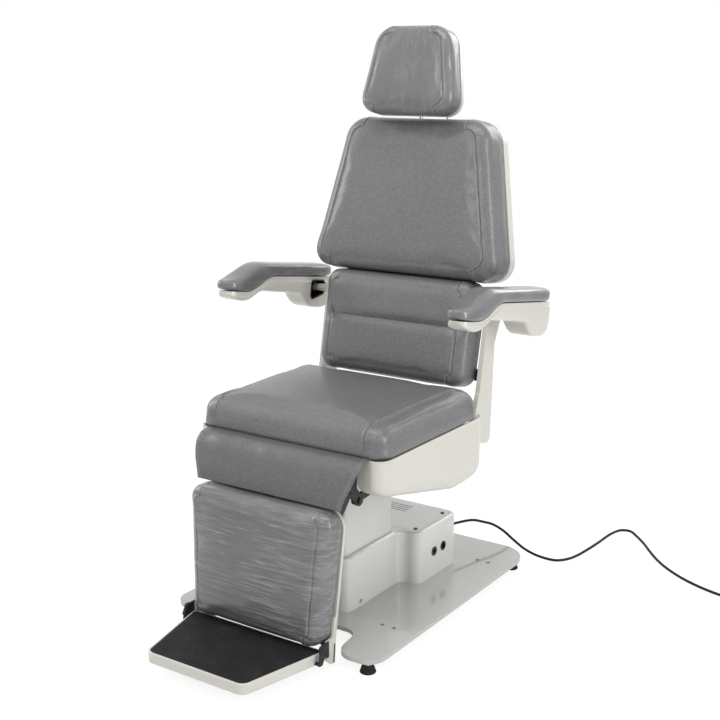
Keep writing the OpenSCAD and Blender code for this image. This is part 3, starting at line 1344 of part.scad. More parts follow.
module footplate_hinges() color(black_paint) placed() both_sides() {
  translate([hinge_tab_in, hinge_tab_front, tread_low - hinge_tab_t])
    cube([hinge_x + bracket_t - hinge_tab_in, hinge_tab_rear - hinge_tab_front, hinge_tab_t]);
  translate([hinge_x, 0, 0]) rotate([90, 0, 90]) difference() {
    linear_extrude(bracket_t) union() {
      translate([fold_y, fold_z]) circle(r = fold_boss_r);
      polygon([[fold_y, fold_z + fold_boss_r], [hinge_tab_front, tread_low],
        [hinge_tab_front, tread_low - hinge_tab_t], [hinge_tab_rear, tread_low - hinge_tab_t],
        [fold_y + fold_boss_r, fold_z]]);
    }
    translate([fold_y, fold_z, -over])
      cylinder(r = fold_pin_r + bore_gap, h = bracket_t + 2 * over);
  }
}

// Footplate: hollow below between its ribs, with a seat for the mat
foot_front_r = 25;
foot_rear_r = 14;
foot_edge_r = 3;
foot_wall = 4;
foot_floor = 4;
mat_sink = 2;
mat_margin = 5;
foot_rib_t = 3;
foot_ribs = 3;
tread_half_rear = leg_half_low + tread_ear;
foot_corners = taper_corners(tread_half_front, tread_front, tread_half_rear, tread_rear,
  foot_front_r, foot_rear_r);
module footplate() color(cream) placed() difference() {
  translate([0, 0, tread_low]) linear_extrude(tread_t) polygon(outline(foot_corners));
  edge_cutter(foot_corners, tread_top, foot_edge_r);
  translate([0, 0, tread_top - mat_sink]) linear_extrude(mat_sink + over)
    polygon(outline(foot_corners, mat_margin));
  translate([0, 0, tread_low - over]) linear_extrude(tread_t - mat_sink - foot_floor + over)
    difference() {
      polygon(outline(foot_corners, foot_wall));
      for (i = [1:foot_ribs])
        translate([-tread_half_rear,
            tread_front + (tread_rear - tread_front) * i / (foot_ribs + 1)])
          square([2 * tread_half_rear, foot_rib_t]);
      for (side = [-1, 1]) translate([side * hinge_tab_in - foot_rib_t / 2, tread_front])
        square([foot_rib_t, tread_rear - tread_front]);
    }
}
mat_gap = 0.5;
mat_rib_pitch = 7;
mat_rib_w = 3;
mat_rib_h = 1;
module footplate_mat() color(rubber) placed()
  translate([0, 0, tread_top - mat_sink]) {
    linear_extrude(mat_t - mat_rib_h) polygon(outline(foot_corners, mat_margin + mat_gap));
    linear_extrude(mat_t) intersection() {
      polygon(outline(foot_corners, mat_margin + 2 * mat_gap));
      for (y = [tread_front + mat_rib_pitch:mat_rib_pitch:tread_rear])
        translate([-tread_half_rear, y]) square([2 * tread_half_rear, mat_rib_w]);
    }
  }

// Apron from the seat to the legrest, its route given as [place, height, half width]
apron_t = 3;
apron_route = [
  [-246, 463.5, 226], [-265, 463.5, 226], [-284, 459, 226], [-303, 442, 224], [-317, 412, 216],
  [-325, 386, 206], [-329, 364, 200]];
apron_steps = 3;
function apron_ring(p, i) =
  let (q = p[max(i - 1, 0)], s = p[min(i + 1, len(p) - 1)], d = unit([s.x - q.x, s.y - q.y]))
  let (up = [-d.y, d.x] * apron_t / 2, c = p[i])
  [[-c.z, c.x - up.x, c.y - up.y], [-c.z, c.x + up.x, c.y + up.y],
    [c.z, c.x + up.x, c.y + up.y], [c.z, c.x - up.x, c.y - up.y]];
apron_path = smooth(apron_route, apron_steps);
module apron() color(vinyl_grey) placed()
  loft([for (i = [0:len(apron_path) - 1]) apron_ring(apron_path, i)]);

floor_plate();
foot_pads();
foot_studs();
base_cover();
service_lid();
lid_screws();
cover_screws();
control_sockets();
fixed_column();
column_bolts();
glide_pads();
fixed_sleeve();
lift_actuator();
control_box();
cord_gland();
mains_cord();
cord_coil();
mains_plug();
lift_mast();
lift_rod();
moving_sleeve();
seat_frame();
seat_cover();
seat_board();
seat_cushion();
knee_brackets();
knee_pins();
recline_actuator();
apron();
recline_shaft();
side_strut_left();
side_strut_right();
back_frame();
crossbar();
lumbar_board();
lumbar_cushion();
upper_board();
upper_cushion();
back_shell();
headrest_guide();
recline_rod();
coupling_link();
headrest_posts();
headrest_shell();
headrest_cushion();
armrest_shell_left();
armrest_pad_left();
armrest_hub_left();
armrest_shell_right();
armrest_pad_right();
armrest_hub_right();
legrest_arms();
legrest_plate();
legrest_pad();
foot_brackets();
fold_pins();
footplate_hinges();
footplate();
footplate_mat();
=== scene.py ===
"""Dressed model of a reclining examination chair, built over its solid frame.

Pieces are surfaces worked out on grids in millimetres about the column's datum, and are
placed in the frame in metres.
"""
import math
from functools import cache

import bpy
import numpy as np
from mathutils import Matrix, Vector
from mathutils.geometry import tessellate_polygon


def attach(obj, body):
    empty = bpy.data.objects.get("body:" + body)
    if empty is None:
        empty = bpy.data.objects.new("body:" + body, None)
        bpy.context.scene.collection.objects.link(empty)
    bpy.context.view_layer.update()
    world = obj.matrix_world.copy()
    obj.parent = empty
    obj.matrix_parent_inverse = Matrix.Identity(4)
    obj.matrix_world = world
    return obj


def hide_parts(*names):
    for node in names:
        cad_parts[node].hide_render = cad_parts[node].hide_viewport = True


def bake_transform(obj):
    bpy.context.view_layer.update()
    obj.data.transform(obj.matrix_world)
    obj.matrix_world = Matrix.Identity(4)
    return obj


bl_info = {
    "name": "Reclining examination chair",
    "version": (1, 0, 0),
    "blender": (4, 5, 0),
    "location": "View3D > Sidebar > Chair",
    "description": "Dresses the solid frame of an examination chair",
    "category": "Object",
}

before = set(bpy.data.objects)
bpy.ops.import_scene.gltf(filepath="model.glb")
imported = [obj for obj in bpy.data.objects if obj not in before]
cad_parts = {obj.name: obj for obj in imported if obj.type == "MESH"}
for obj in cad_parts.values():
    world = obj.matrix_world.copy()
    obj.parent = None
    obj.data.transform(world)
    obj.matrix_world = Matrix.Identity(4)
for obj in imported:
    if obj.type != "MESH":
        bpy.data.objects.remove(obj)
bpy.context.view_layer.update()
MM = 0.001
CENTRE_Y = 83.0
TURN = 2 * math.pi


# Places

def on_floor(points):
    """Millimetres about the column's datum to metres in the frame: shifted along Y."""
    return (np.asarray(points, float) + (0, CENTRE_Y, 0)) * MM


def leaning(pivot_y, pivot_z, degrees, shift_x=0.0):
    """Placing function: turned back by an angle about a line along X, then moved to it."""
    c, s = math.cos(math.radians(degrees)), math.sin(math.radians(degrees))

    def place(points):
        x, y, z = np.moveaxis(np.asarray(points, float), -1, 0)
        return on_floor(np.stack([x + shift_x, pivot_y + c * y + s * z, pivot_z - s * y + c * z], -1))
    return place


PIVOT_Y, PIVOT_Z, BACK_LEAN = 190.0, 420.0, 11.3
KNEE_Y, KNEE_Z, LEG_LEAN = -228.0, 378.0, 4.7
BAR_Y, BAR_Z = 40.0, 301.0
ARM_X, ARM_LEAN = 326.0, 8.2
in_back = leaning(PIVOT_Y, PIVOT_Z, BACK_LEAN)
in_leg = leaning(KNEE_Y, KNEE_Z, LEG_LEAN)


def in_arm(side):
    """Placing function of an armrest, which swings on the backrest's crossbar."""
    c, s = math.cos(math.radians(BACK_LEAN)), math.sin(math.radians(BACK_LEAN))
    return leaning(PIVOT_Y + BAR_Y * c + BAR_Z * s, PIVOT_Z - BAR_Y * s + BAR_Z * c, ARM_LEAN, side * ARM_X)


def in_seat(points):
    """Seat cushion: its length lies along Y and its face looks up."""
    x, y, z = np.moveaxis(points, -1, 0)
    return on_floor(np.stack([x, z, -y], -1))


def upright(side_x, place=on_floor):
    """Placing function for a plate drawn in (y, z) and standing square to X from side_x."""
    return lambda p: place(np.stack([side_x + p[..., 2], p[..., 0], p[..., 1]], -1))


# Settings

COLOUR = {"subtype": "COLOR", "min": 0, "max": 1}


class ChairFinish(bpy.types.PropertyGroup):
    """Colours of the finishes"""
    vinyl: bpy.props.FloatVectorProperty(
        name="Vinyl", description="Upholstery colour",
        default=(0.142, 0.1425, 0.144), **COLOUR)
    wrapped: bpy.props.FloatVectorProperty(
        name="Wrapped vinyl", description="Upholstery under clear film",
        default=(0.125, 0.126, 0.129), **COLOUR)
    cream: bpy.props.FloatVectorProperty(
        name="Shells", description="Colour of the moulded shells",
        default=(0.56, 0.545, 0.49), **COLOUR)
    cover: bpy.props.FloatVectorProperty(
        name="Base cover", description="Colour of the base cover",
        default=(0.60, 0.61, 0.58), **COLOUR)
    paint: bpy.props.FloatVectorProperty(
        name="Plate paint", description="Colour of the floor plate",
        default=(0.42, 0.42, 0.395), **COLOUR)
    black: bpy.props.FloatVectorProperty(
        name="Black parts", description="Colour of coated metal parts",
        default=(0.009, 0.009, 0.0095), **COLOUR)
    rubber: bpy.props.FloatVectorProperty(
        name="Rubber", description="Colour of feet, mat and cord",
        default=(0.009, 0.009, 0.0095), **COLOUR)


class ChairSizes(bpy.types.PropertyGroup):
    """Sizes that a user would change"""
    stitch_pitch: bpy.props.FloatProperty(
        name="Stitch pitch", description="Distance from stitch to stitch",
        default=0.0052, min=0.003, max=0.02, unit="LENGTH")
    seam_depth: bpy.props.FloatProperty(
        name="Seam depth", description="Depth of a sewn seam",
        default=0.0024, min=0, max=0.004, unit="LENGTH")
    channel_depth: bpy.props.FloatProperty(
        name="Channel depth", description="Depth of the lumbar channel",
        default=0.009, min=0, max=0.012, unit="LENGTH")
    puff: bpy.props.FloatProperty(
        name="Cushion puff", description="Most that a cushion's face swells",
        default=0.006, min=0, max=0.009, unit="LENGTH")
    dot_pitch: bpy.props.FloatProperty(
        name="Mat dot pitch", description="Distance between the mat's dots",
        default=0.0058, min=0.004, max=0.02, unit="LENGTH")


# Meshes

def weld(points, quads, tris=()):
    """Merges points that lie together and drops the faces that collapse.

    Points are compared on a two-micrometre grid; a quad with one repeated corner becomes a triangle.
    """
    keys = np.round(points * 1e6 / 2).astype(np.int64)
    _, first, inverse = np.unique(keys, axis=0, return_index=True, return_inverse=True)
    inverse = inverse.reshape(-1)
    quads = inverse[np.asarray(quads, np.int64)]
    same = quads == np.roll(quads, -1, axis=1)
    cross = (quads[:, 0] == quads[:, 2]) | (quads[:, 1] == quads[:, 3])
    whole, three = ((same.sum(1) == count) & ~cross for count in (0, 1))
    found = [quads[three][~same[three]].reshape(-1, 3)]
    if len(tris):
        t = inverse[np.asarray(tris, np.int64)]
        found.append(t[(t != np.roll(t, -1, axis=1)).all(1)])
    return points[first], quads[whole], np.concatenate(found), inverse


def volume(points, faces):
    """Signed volume: the sum of the tetrahedra from the origin to each face's fan."""
    total = 0.0
    for k in range(1, faces.shape[1] - 1):
        a, b, c = points[faces[:, 0]], points[faces[:, k]], points[faces[:, k + 1]]
        total += float(np.einsum("ij,ij->", a, np.cross(b, c)))
    return total / 6


def outward(points, quads, tris=()):
    """Welded points and faces, turned so that the faces look outwards."""
    p, q, t, inverse = weld(points, quads, tris)
    if volume(p, q) + volume(p, t) < 0:
        q, t = q[:, ::-1], t[:, ::-1]
    return p, q, t, inverse


def mesh_of(points, *faces, sharp=40.0):
    """Mesh from whole arrays of points and faces, smooth but for edges sharper than an angle."""
    faces = [np.asarray(f, np.int32) for f in faces if len(f)]
    loops = np.concatenate([f.ravel() for f in faces])
    sizes = np.concatenate([np.full(len(f), f.shape[1], np.int32) for f in faces])
    mesh = bpy.data.meshes.new("shape")
    mesh.vertices.add(len(points))
    mesh.vertices.foreach_set("co", np.asarray(points, np.float32).ravel())
    mesh.loops.add(len(loops))
    mesh.loops.foreach_set("vertex_index", loops)
    mesh.polygons.add(len(sizes))
    mesh.polygons.foreach_set("loop_start", (np.cumsum(sizes) - sizes).astype(np.int32))
    mesh.polygons.foreach_set("use_smooth", np.ones(len(sizes), bool))
    mesh.update(calc_edges=True)
    mesh.validate()
    if sharp:
        mesh.set_sharp_from_angle(angle=math.radians(sharp))
    return mesh


def solid(points, quads, tris=(), sharp=40.0):
    """Closed mesh, welded and turned outwards."""
    return mesh_of(*outward(points, quads, tris)[:3], sharp=sharp)


def grid(rows, cols, wrap=False, wrap_rows=False):
    """Quads of a grid of points, joined round its columns or its rows where asked."""
    r = np.arange(rows if wrap_rows else rows - 1)[:, None]
    c = np.arange(cols if wrap else cols - 1)[None, :]
    up, on = (r + 1) % rows, (c + 1) % cols
    return np.stack([r * cols + c, r * cols + on, up * cols + on, up * cols + c], -1).reshape(-1, 4)


def surface(g, flip=False):
    """A grid's points and quads, turned over where asked."""
    quads = grid(*g.shape[:2])
    return g.reshape(-1, 3), quads[:, ::-1] if flip else quads


def joined(*parts):
    """Points and faces of several surfaces as one, each one's faces counted on from the last."""
    starts = np.cumsum([0] + [len(p) for p, _ in parts])
    return (np.concatenate([p for p, _ in parts]),
            np.concatenate([f + start for (_, f), start in zip(parts, starts)]))


def repeated(faces, count, size):
    """Faces of one small shape of so many points, repeated for each of its copies."""
    return (np.arange(count)[:, None, None] * size + faces).reshape(-1, faces.shape[1])


def rings(*grids, looped=False, sharp=40.0):
    """Closed solids through rings (rows, around, 3); end rings are closed to their centres."""
    points, quads, tris, total = [], [], [], 0
    for g in grids:
        if not looped:
            first, last = (np.broadcast_to(g[k].mean(0), g[k].shape)[None] for k in (0, -1))
            g = np.concatenate([first, g, last])
        p, q, t, _ = outward(g.reshape(-1, 3), grid(*g.shape[:2], True, looped))
        points.append(p)
        quads.append(q + total)
        tris.append(t + total)
        total += len(p)
    return mesh_of(np.concatenate(points), np.concatenate(quads), np.concatenate(tris), sharp=sharp)


def piece(name, mesh, material, body, replaces=(), wall=0.0, bevel=0.0, smooth=0, steps=3, even=True):
    """One object at the origin that rides on a body, with its wall, bevel and subdivision."""
    mesh.name = name
    mesh.materials.append(material)
    obj = bpy.data.objects.new(name, mesh)
    bpy.context.scene.collection.objects.link(obj)
    if wall:
        m = obj.modifiers.new("wall", "SOLIDIFY")
        m.thickness, m.offset, m.use_even_offset = wall * MM, -1, even
    if bevel:
        m = obj.modifiers.new("edge", "BEVEL")
        m.width, m.segments, m.limit_method = bevel * MM, steps, "ANGLE"
        m.angle_limit, m.harden_normals = math.radians(38), True
    if smooth:
        m = obj.modifiers.new("round", "SUBSURF")
        m.levels = m.render_levels = smooth
    if body:
        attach(obj, body)
    if replaces:
        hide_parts(*([replaces] if isinstance(replaces, str) else replaces))
    return obj


# Outlines and paths

def unit(v):
    """Vectors brought to length one."""
    return v / np.maximum(np.linalg.norm(v, axis=-1, keepdims=True), 1e-12)


def outline(corners, steps=12):
    """Closed outline with rounded corners and its inward normals.

    Each corner [x, y, r] becomes an arc whose centre lies on the corner's bisector at
    r / sin(half the opening); every point keeps the direction to or from that centre.
    """
    c = np.asarray(corners, float)
    q, r = c[:, :2], c[:, 2:3]
    a, b = unit(np.roll(q, 1, 0) - q), unit(np.roll(q, -1, 0) - q)
    half = np.arccos(np.clip((a * b).sum(1), -1, 1))[:, None] / 2
    centre = q + unit(a + b) * r / np.sin(half)
    bend = np.sign(-a[:, 0] * b[:, 1] + a[:, 1] * b[:, 0])[:, None]
    first, last = q + a * r / np.tan(half) - centre, q + b * r / np.tan(half) - centre
    start, end = (np.arctan2(ray[:, 1], ray[:, 0])[:, None] for ray in (first, last))
    sweep = (end - start + math.pi) % TURN - math.pi
    t = start + sweep * np.linspace(0, 1, steps + 1)[None]
    ray = np.stack([np.cos(t), np.sin(t)], -1)
    points = centre[:, None] + r[:, None] * ray
    return points.reshape(-1, 2), (-bend[:, None] * ray).reshape(-1, 2)


def box(x0, y0, x1, y1, r):
    """Corners of a rounded rectangle."""
    return [[x0, y0, r], [x1, y0, r], [x1, y1, r], [x0, y1, r]]


def box_loop(*sides):
    """Outline of a rounded rectangle."""
    return outline(box(*sides), 6)[0]


def circle(x, y, r, sides=40):
    t = np.arange(sides) * TURN / sides
    return np.stack([x + r * np.cos(t), y + r * np.sin(t)], -1)


def area(loop):
    nxt = np.roll(loop, -1, 0)
    return float((loop[:, 0] * nxt[:, 1] - loop[:, 1] * nxt[:, 0]).sum()) / 2


def flat_faces(loops):
    """Triangles that fill an outline less its holes, all counter-clockwise."""
    tris = np.array(tessellate_polygon([[Vector((x, y, 0)) for x, y in loop] for loop in loops]))
    p = np.concatenate(loops)[tris]
    u, v = p[:, 1] - p[:, 0], p[:, 2] - p[:, 0]
    back = u[:, 0] * v[:, 1] - u[:, 1] * v[:, 0] < 0
    tris[back] = tris[back][:, ::-1]
    return tris


def plate(low, high, place, rim, *holes):
    """Flat plate: an outline less its holes, carried from one height to another."""
    loops = [rim] + [hole if area(hole) < 0 else hole[::-1] for hole in holes]
    tris, flat = flat_faces(loops), np.concatenate(loops)
    n, start, sides = len(flat), 0, []
    for loop in loops:
        k = start + np.arange(len(loop))
        on = np.roll(k, -1)
        sides.append(np.stack([k, on, on + n, k + n], -1))
        start += len(loop)
    points = np.concatenate([np.insert(flat, 2, z, axis=1) for z in (low, high)])
    return solid(place(points), np.concatenate(sides), np.concatenate([tris[:, ::-1], tris + n]))


def carried(corners, profile, steps=12):
    """Rings of an outline's points moved inwards by d at height z, for each [d, z]."""
    p, n = outline(corners, steps)
    d, z = np.asarray(profile, float).T[..., None, None]
    flat = p[None] + d * n[None]
    return np.concatenate([flat, np.broadcast_to(z, flat.shape[:2] + (1,))], -1)


def arc(r, d0, z0, a0, a1, steps=8):
    """Points of a quarter round in (d, z) about (d0, z0) between two angles in degrees."""
    t = np.radians(np.linspace(a0, a1, steps + 1))
    return np.stack([d0 + r * np.cos(t), z0 + r * np.sin(t)], -1)


def smooth_path(route, per):
    """Catmull-Rom curve through a route's points, with even shares of each stretch."""
    p = np.asarray(route, float)
    ends = np.concatenate([p[:1], p, p[-1:]])
    a, b, c, d = (ends[i:len(ends) - 3 + i][:, None] for i in range(4))
    t = (np.arange(per) / per)[None, :, None]
    curve = 0.5 * (2 * b + (c - a) * t + (2 * a - 5 * b + 4 * c - d) * t ** 2
                   + (3 * b - a - 3 * c + d) * t ** 3)
    return np.concatenate([curve.reshape(-1, p.shape[1]), p[-1:]])


def run_of(path):
    """Distance along a path at each of its points."""
    return np.concatenate([[0], np.cumsum(np.linalg.norm(np.diff(path, axis=0), axis=1))])


def read_at(at, run, values):
    """Rows of values along a run, read at other places, straight between them."""
    return np.stack([np.interp(at, run, column) for column in values.T], -1)


def tube(path, radius, sides):
    """Round tube: circles square to a path, their first point sideways of it."""
    d = unit(np.gradient(path, axis=0))
    u = unit(np.cross(d, (0, 0, 1.0)))
    v = np.cross(u, d)
    t = (np.arange(sides) * TURN / sides)[None, :, None]
    return path[:, None] + radius * (np.cos(t) * u[:, None] + np.sin(t) * v[:, None])


def lathe(profile, x, y, sides=56):
    """Rings of a profile [r, z] turned about an upright line."""
    p = np.asarray(profile, float)
    t = np.arange(sides) * TURN / sides
    return np.stack([x + p[:, :1] * np.cos(t), y + p[:, :1] * np.sin(t),
                     np.broadcast_to(p[:, 1:], (len(p), sides))], -1)


def squared(w, power):
    """A sine or cosine pushed out to a superellipse: sign(w) |w|^(2 / power)."""
    return np.sign(w) * np.abs(w) ** (2 / power)


def halfway(share):
    """Half a cosine's rise from 0 to 1, held beyond its ends."""
    return (1 - np.cos(math.pi * np.clip(share, 0, 1))) / 2


# Upholstery

SEAM_STEP, EDGE_COLUMNS = 1.5, 14
GROOVE_WIDE, RIDGE_AWAY, RIDGE_WIDE = 1.7, 4.5, 2.4
CHANNEL_WIDE, CHANNEL_SEAM_WIDE, CHANNEL_FADE = 12, 2.2, 40
FACE_FADE, UNEVEN = 14, 0.0003
CLOTH_FRAMES, CLOTH_PRESSURE = 20, 4.0
THREAD_R, THREAD_LIFT, THREAD_SHARE = 0.00042, 0.00012, 0.68


class Pad:
    """Rounded block in millimetres: x across, z along, y through it.

    The face at `near` and the back at `far` are each draped from the parting depth `part`:
    the outline at a depth is the rounded trapezoid drawn in by i, whose half width near an
    end is a - rc + sqrt((rc - i)^2 - (rc - h)^2) at the distance h from that end.
    """

    def __init__(self, z0, z1, a0, a1, near, far, r, rc0, rc1, crown=5.0, back_r=8.0,
                 channel=None, seam=6.0):
        self.z0, self.z1, self.a0, self.a1 = z0, z1, a0, a1
        self.near, self.far, self.r, self.back_r = near, far, r, back_r
        self.rc0, self.rc1, self.crown, self.channel, self.seam = rc0, rc1, crown, channel, seam
        self.part, self.spare = far - back_r - 4, 0.0

    def stations(self, pitch, fine):
        """Heights of the rows: closer round the corners and beside the channel."""
        turn = np.radians(np.linspace(0, 90, 9 if fine else 4))

        def corner(rc):
            return np.concatenate([self.r * (1 - np.cos(turn)), rc - (rc - self.r) * np.cos(turn[1:])])
        inner = self.z1 - self.z0 - self.rc0 - self.rc1
        mid = self.z0 + self.rc0 + np.linspace(0, inner, int(inner / pitch) + 2)[1:-1]
        z = np.concatenate([self.z0 + corner(self.rc0), mid, (self.z1 - corner(self.rc1))[::-1]])
        if fine and self.channel:
            close = self.channel + np.arange(-16, 16.1, 1.6)
            z = np.unique(np.concatenate([z[np.abs(z - self.channel) > 17], close]))
        return z

    def drape(self, z, face, r, pitch, fine):
        """One half: from the parting depth over the edge and across the face."""
        share = (z - self.z0) / (self.z1 - self.z0)
        a = (self.a0 + (self.a1 - self.a0) * share)[:, None]
        low, high = z - self.z0, self.z1 - z
        h = np.minimum(low, high)[:, None]
        rc = np.where(low < high, self.rc0, self.rc1)[:, None]

        def half_width(i):
            bent = a - rc + np.sqrt(np.maximum(0, (rc - i) ** 2 - (rc - np.minimum(h, rc)) ** 2))
            return np.where(h < rc, bent, a - i)
        s = 1.0 if face < self.part else -1.0
        least = np.arcsin(np.clip(1 - h / r, 0, 1))
        phi = math.pi / 2 + (least - math.pi / 2) * np.linspace(0, 1, 9 if fine else 4)
        edge_x, edge_y = half_width(r * (1 - np.sin(phi))), face + s * r * (1 - np.cos(phi))
        rise = np.linspace(0, 1, 6 if fine else 4)[:-1]
        wall_x = np.broadcast_to(half_width(0.0), (len(z), len(rise)))
        wall_y = np.broadcast_to(self.part + (face + s * r - self.part) * rise, wall_x.shape)
        x0 = edge_x[:, -1:]
        strip = SEAM_STEP * np.arange(1, 11 if fine else 1)
        reach = SEAM_STEP * len(strip)
        count = int(2 * (max(self.a0, self.a1) + self.spare - self.r - reach) / pitch) | 1
        inner = np.linspace(1, -1, count + 2)[1:-1] * (x0 - reach)
        face_x = np.concatenate([x0 - strip, inner, (strip - x0)[:, ::-1]], 1)
        face_y = np.broadcast_to(edge_y[:, -1:], face_x.shape)
        x = np.concatenate([wall_x, edge_x, face_x, -edge_x[:, ::-1], -wall_x[:, ::-1]], 1)
        y = np.concatenate([wall_y, edge_y, face_y, edge_y[:, ::-1], wall_y[:, ::-1]], 1)
        if s > 0:
            depth = np.clip((y - self.part) / (face - self.part), 0, 1)
            swell = (1 - (x / a) ** 4) * np.sin(math.pi * share)[:, None] ** 0.7
            y = y - self.crown * swell * depth ** 3
        g = np.stack([x, y, np.broadcast_to(z[:, None], x.shape)], -1)
        depths = np.array((0, 0.35, 0.7) if fine else (0, 0.5))[:, None]

        def closing(row):
            """Rows that lead from the parting depth to an end row."""
            rows = np.repeat(row[None], len(depths), 0)
            rows[..., 1] = self.part + depths * (row[:, 1] - self.part)
            return rows
        return np.concatenate([closing(g[0]), g, closing(g[-1])[::-1]])

    def halves(self, pitch=6.0, fine=True):
        z = self.stations(pitch, fine)
        sides = (self.near, self.r), (self.far, self.back_r)
        return [self.drape(z, face, r, pitch, fine) for face, r in sides]


def spread(g):
    """Share of the way along a grid's middle row and middle column."""
    lines = g[:, g.shape[1] // 2], g[g.shape[0] // 2]
    runs = [run_of(line) + 1e-9 * np.arange(len(line)) for line in lines]
    return [run / run[-1] for run in runs]


def resample(values, old, new):
    """A field on one grid read at the shares of another, straight between its points."""
    for axis in (0, 1):
        i = np.clip(np.searchsorted(old[axis], new[axis], side="right") - 1, 0, len(old[axis]) - 2)
        w = (new[axis] - old[axis][i]) / (old[axis][i + 1] - old[axis][i])
        w = w.reshape((-1, 1, 1) if axis == 0 else (1, -1, 1))
        values = np.take(values, i, axis) * (1 - w) + np.take(values, i + 1, axis) * w
    return values


def grid_normals(g):
    """Unit normals of a grid: the cross product of its two slopes."""
    return unit(np.cross(np.gradient(g, axis=1), np.gradient(g, axis=0)))


def puffed(pad, place, most):
    """Swelling of a cushion's face, in metres, from a cloth blown up under pressure.

    The face starts a little low, everything from the parting line back is pinned, and each
    point's movement d is held below the given most as most * tanh(|d| / most).
    """
    near, far = pad.halves(8.0, False)
    start = near.copy()
    start[..., 1] = pad.part + 0.95 * (near[..., 1] - pad.part)
    points, q, t, inverse = outward(*joined(surface(place(start)), surface(place(far), True)))
    inverse = inverse[:near.shape[0] * near.shape[1]]
    obj = bpy.data.objects.new("cloth", mesh_of(points, q, t, sharp=0))
    scene = bpy.context.scene
    scene.collection.objects.link(obj)
    held = np.ones(len(points), bool)
    held[inverse[(near[..., 1] < pad.part - 0.5).reshape(-1)]] = False
    obj.vertex_groups.new(name="held").add(np.flatnonzero(held).tolist(), 1.0, "REPLACE")
    cloth = obj.modifiers.new("cloth", "CLOTH")
    s = cloth.settings
    s.quality, s.mass, s.vertex_group_mass = 6, 0.3, "held"
    s.tension_stiffness = s.compression_stiffness = 18
    s.shear_stiffness, s.bending_stiffness = 8, 0.6
    s.use_pressure, s.uniform_pressure_force = True, CLOTH_PRESSURE
    s.effector_weights.gravity = 0
    cloth.collision_settings.use_self_collision = False
    cloth.point_cache.frame_start, cloth.point_cache.frame_end = 1, CLOTH_FRAMES
    for number in range(1, CLOTH_FRAMES + 1):
        scene.frame_set(number)
    blown = obj.evaluated_get(bpy.context.evaluated_depsgraph_get())
    moved = np.empty(len(points) * 3, np.float32)
    blown.to_mesh().vertices.foreach_get("co", moved)
    blown.to_mesh_clear()
    scene.frame_set(1)
    bpy.data.objects.remove(obj)
    d = moved.reshape(-1, 3)[inverse].reshape(near.shape) - place(near)
    size = np.linalg.norm(d, axis=-1, keepdims=True)
    d = d * (most * np.tanh(size / most) / np.maximum(size, 1e-9))
    d[[0, -1]] = 0
    d[:, [0, -1]] = 0
    return near, d


def unevenness(g, amount, seed):
    """Gentle waves in metres along the surface: a seeded sum of sines of its place."""
    rng = np.random.default_rng(seed)
    total = np.zeros(g.shape[:2])
    for _ in range(9):
        k = rng.normal(size=3) * rng.uniform(12, 45)
        total += np.sin(g @ k + rng.uniform(0, TURN)) / 9 ** 0.5
    return amount * total


def cushion(name, pad, place, material, body, node, puff_share, seed, folds=0):
    """Upholstered cushion with puffed face, sewn seams and channel, and its stitching.

    The seam is a groove exp(-(e / width)^2) beside two low ridges, e being the distance in
    millimetres from the seam's column of the grid; the channel is the same across the pad,
    and each fold is a low ridge of the same form along a slanting line.
    """
    sizes = bpy.context.scene.chair_sizes
    near_mm, far_mm = pad.halves()
    near, far = place(near_mm), place(far_mm)
    coarse, moved = puffed(pad, place, sizes.puff * puff_share)
    field = resample(moved, spread(coarse), spread(near_mm))
    for _ in range(3):
        field[1:-1, 1:-1] = (field[1:-1, 1:-1] * 2 + field[:-2, 1:-1] + field[2:, 1:-1]
                             + field[1:-1, :-2] + field[1:-1, 2:]) / 6
    near = near + field
    normal = grid_normals(near)
    rows, cols = near.shape[:2]
    into = place(np.array([0.0, 1.0, 0.0])) - place(np.zeros(3))
    if float(normal[rows // 2, cols // 2] @ into) > 0:
        normal = -normal
    x, y, z = np.moveaxis(near_mm, -1, 0)
    in_from_edge = EDGE_COLUMNS + int(pad.seam / SEAM_STEP)
    seams = [in_from_edge - 1, cols - in_from_edge]
    e = np.abs(np.arange(cols) - np.array(seams)[:, None]) * SEAM_STEP
    groove = np.exp(-(e / GROOVE_WIDE) ** 2) - 0.35 * np.exp(-((e - RIDGE_AWAY) / RIDGE_WIDE) ** 2)
    deep = np.tile(sizes.seam_depth * groove.sum(0), (rows, 1))
    if pad.channel:
        e = z - pad.channel
        across = 1 - np.clip((np.abs(x) - pad.a0 + CHANNEL_FADE) / CHANNEL_FADE, 0, 1) ** 2
        dip = 0.78 * np.exp(-(e / CHANNEL_WIDE) ** 2) + 0.3 * np.exp(-(e / CHANNEL_SEAM_WIDE) ** 2)
        deep += sizes.channel_depth * dip * across
    deep += unevenness(near, UNEVEN, seed)
    rng = np.random.default_rng(seed + 1)
    for _ in range(folds):
        zc, xc = rng.uniform(pad.z0 + 20, pad.z1 - 20), rng.uniform(-120, 120)
        slope, wide = rng.uniform(-0.06, 0.02), rng.uniform(2.0, 4.5)
        reach, high = rng.uniform(30, 110), rng.uniform(0.25, 0.9)
        e = z - zc - slope * (x - xc)
        deep -= high * MM * np.exp(-(e / wide) ** 2) * np.exp(-((x - xc) / reach) ** 4)
    inside = np.clip((pad.part - y) / FACE_FADE, 0, 1)
    near = near - normal * (deep * inside)[..., None]
    mesh = solid(*joined(surface(near), surface(far, True)), sharp=0)
    piece(name, mesh, material, body, node, smooth=1)
    lines = [(near[4:-4, k + side], normal[4:-4, k + side]) for k in seams for side in (-3, 3)]
    stitches(name + "_stitches", lines, body)


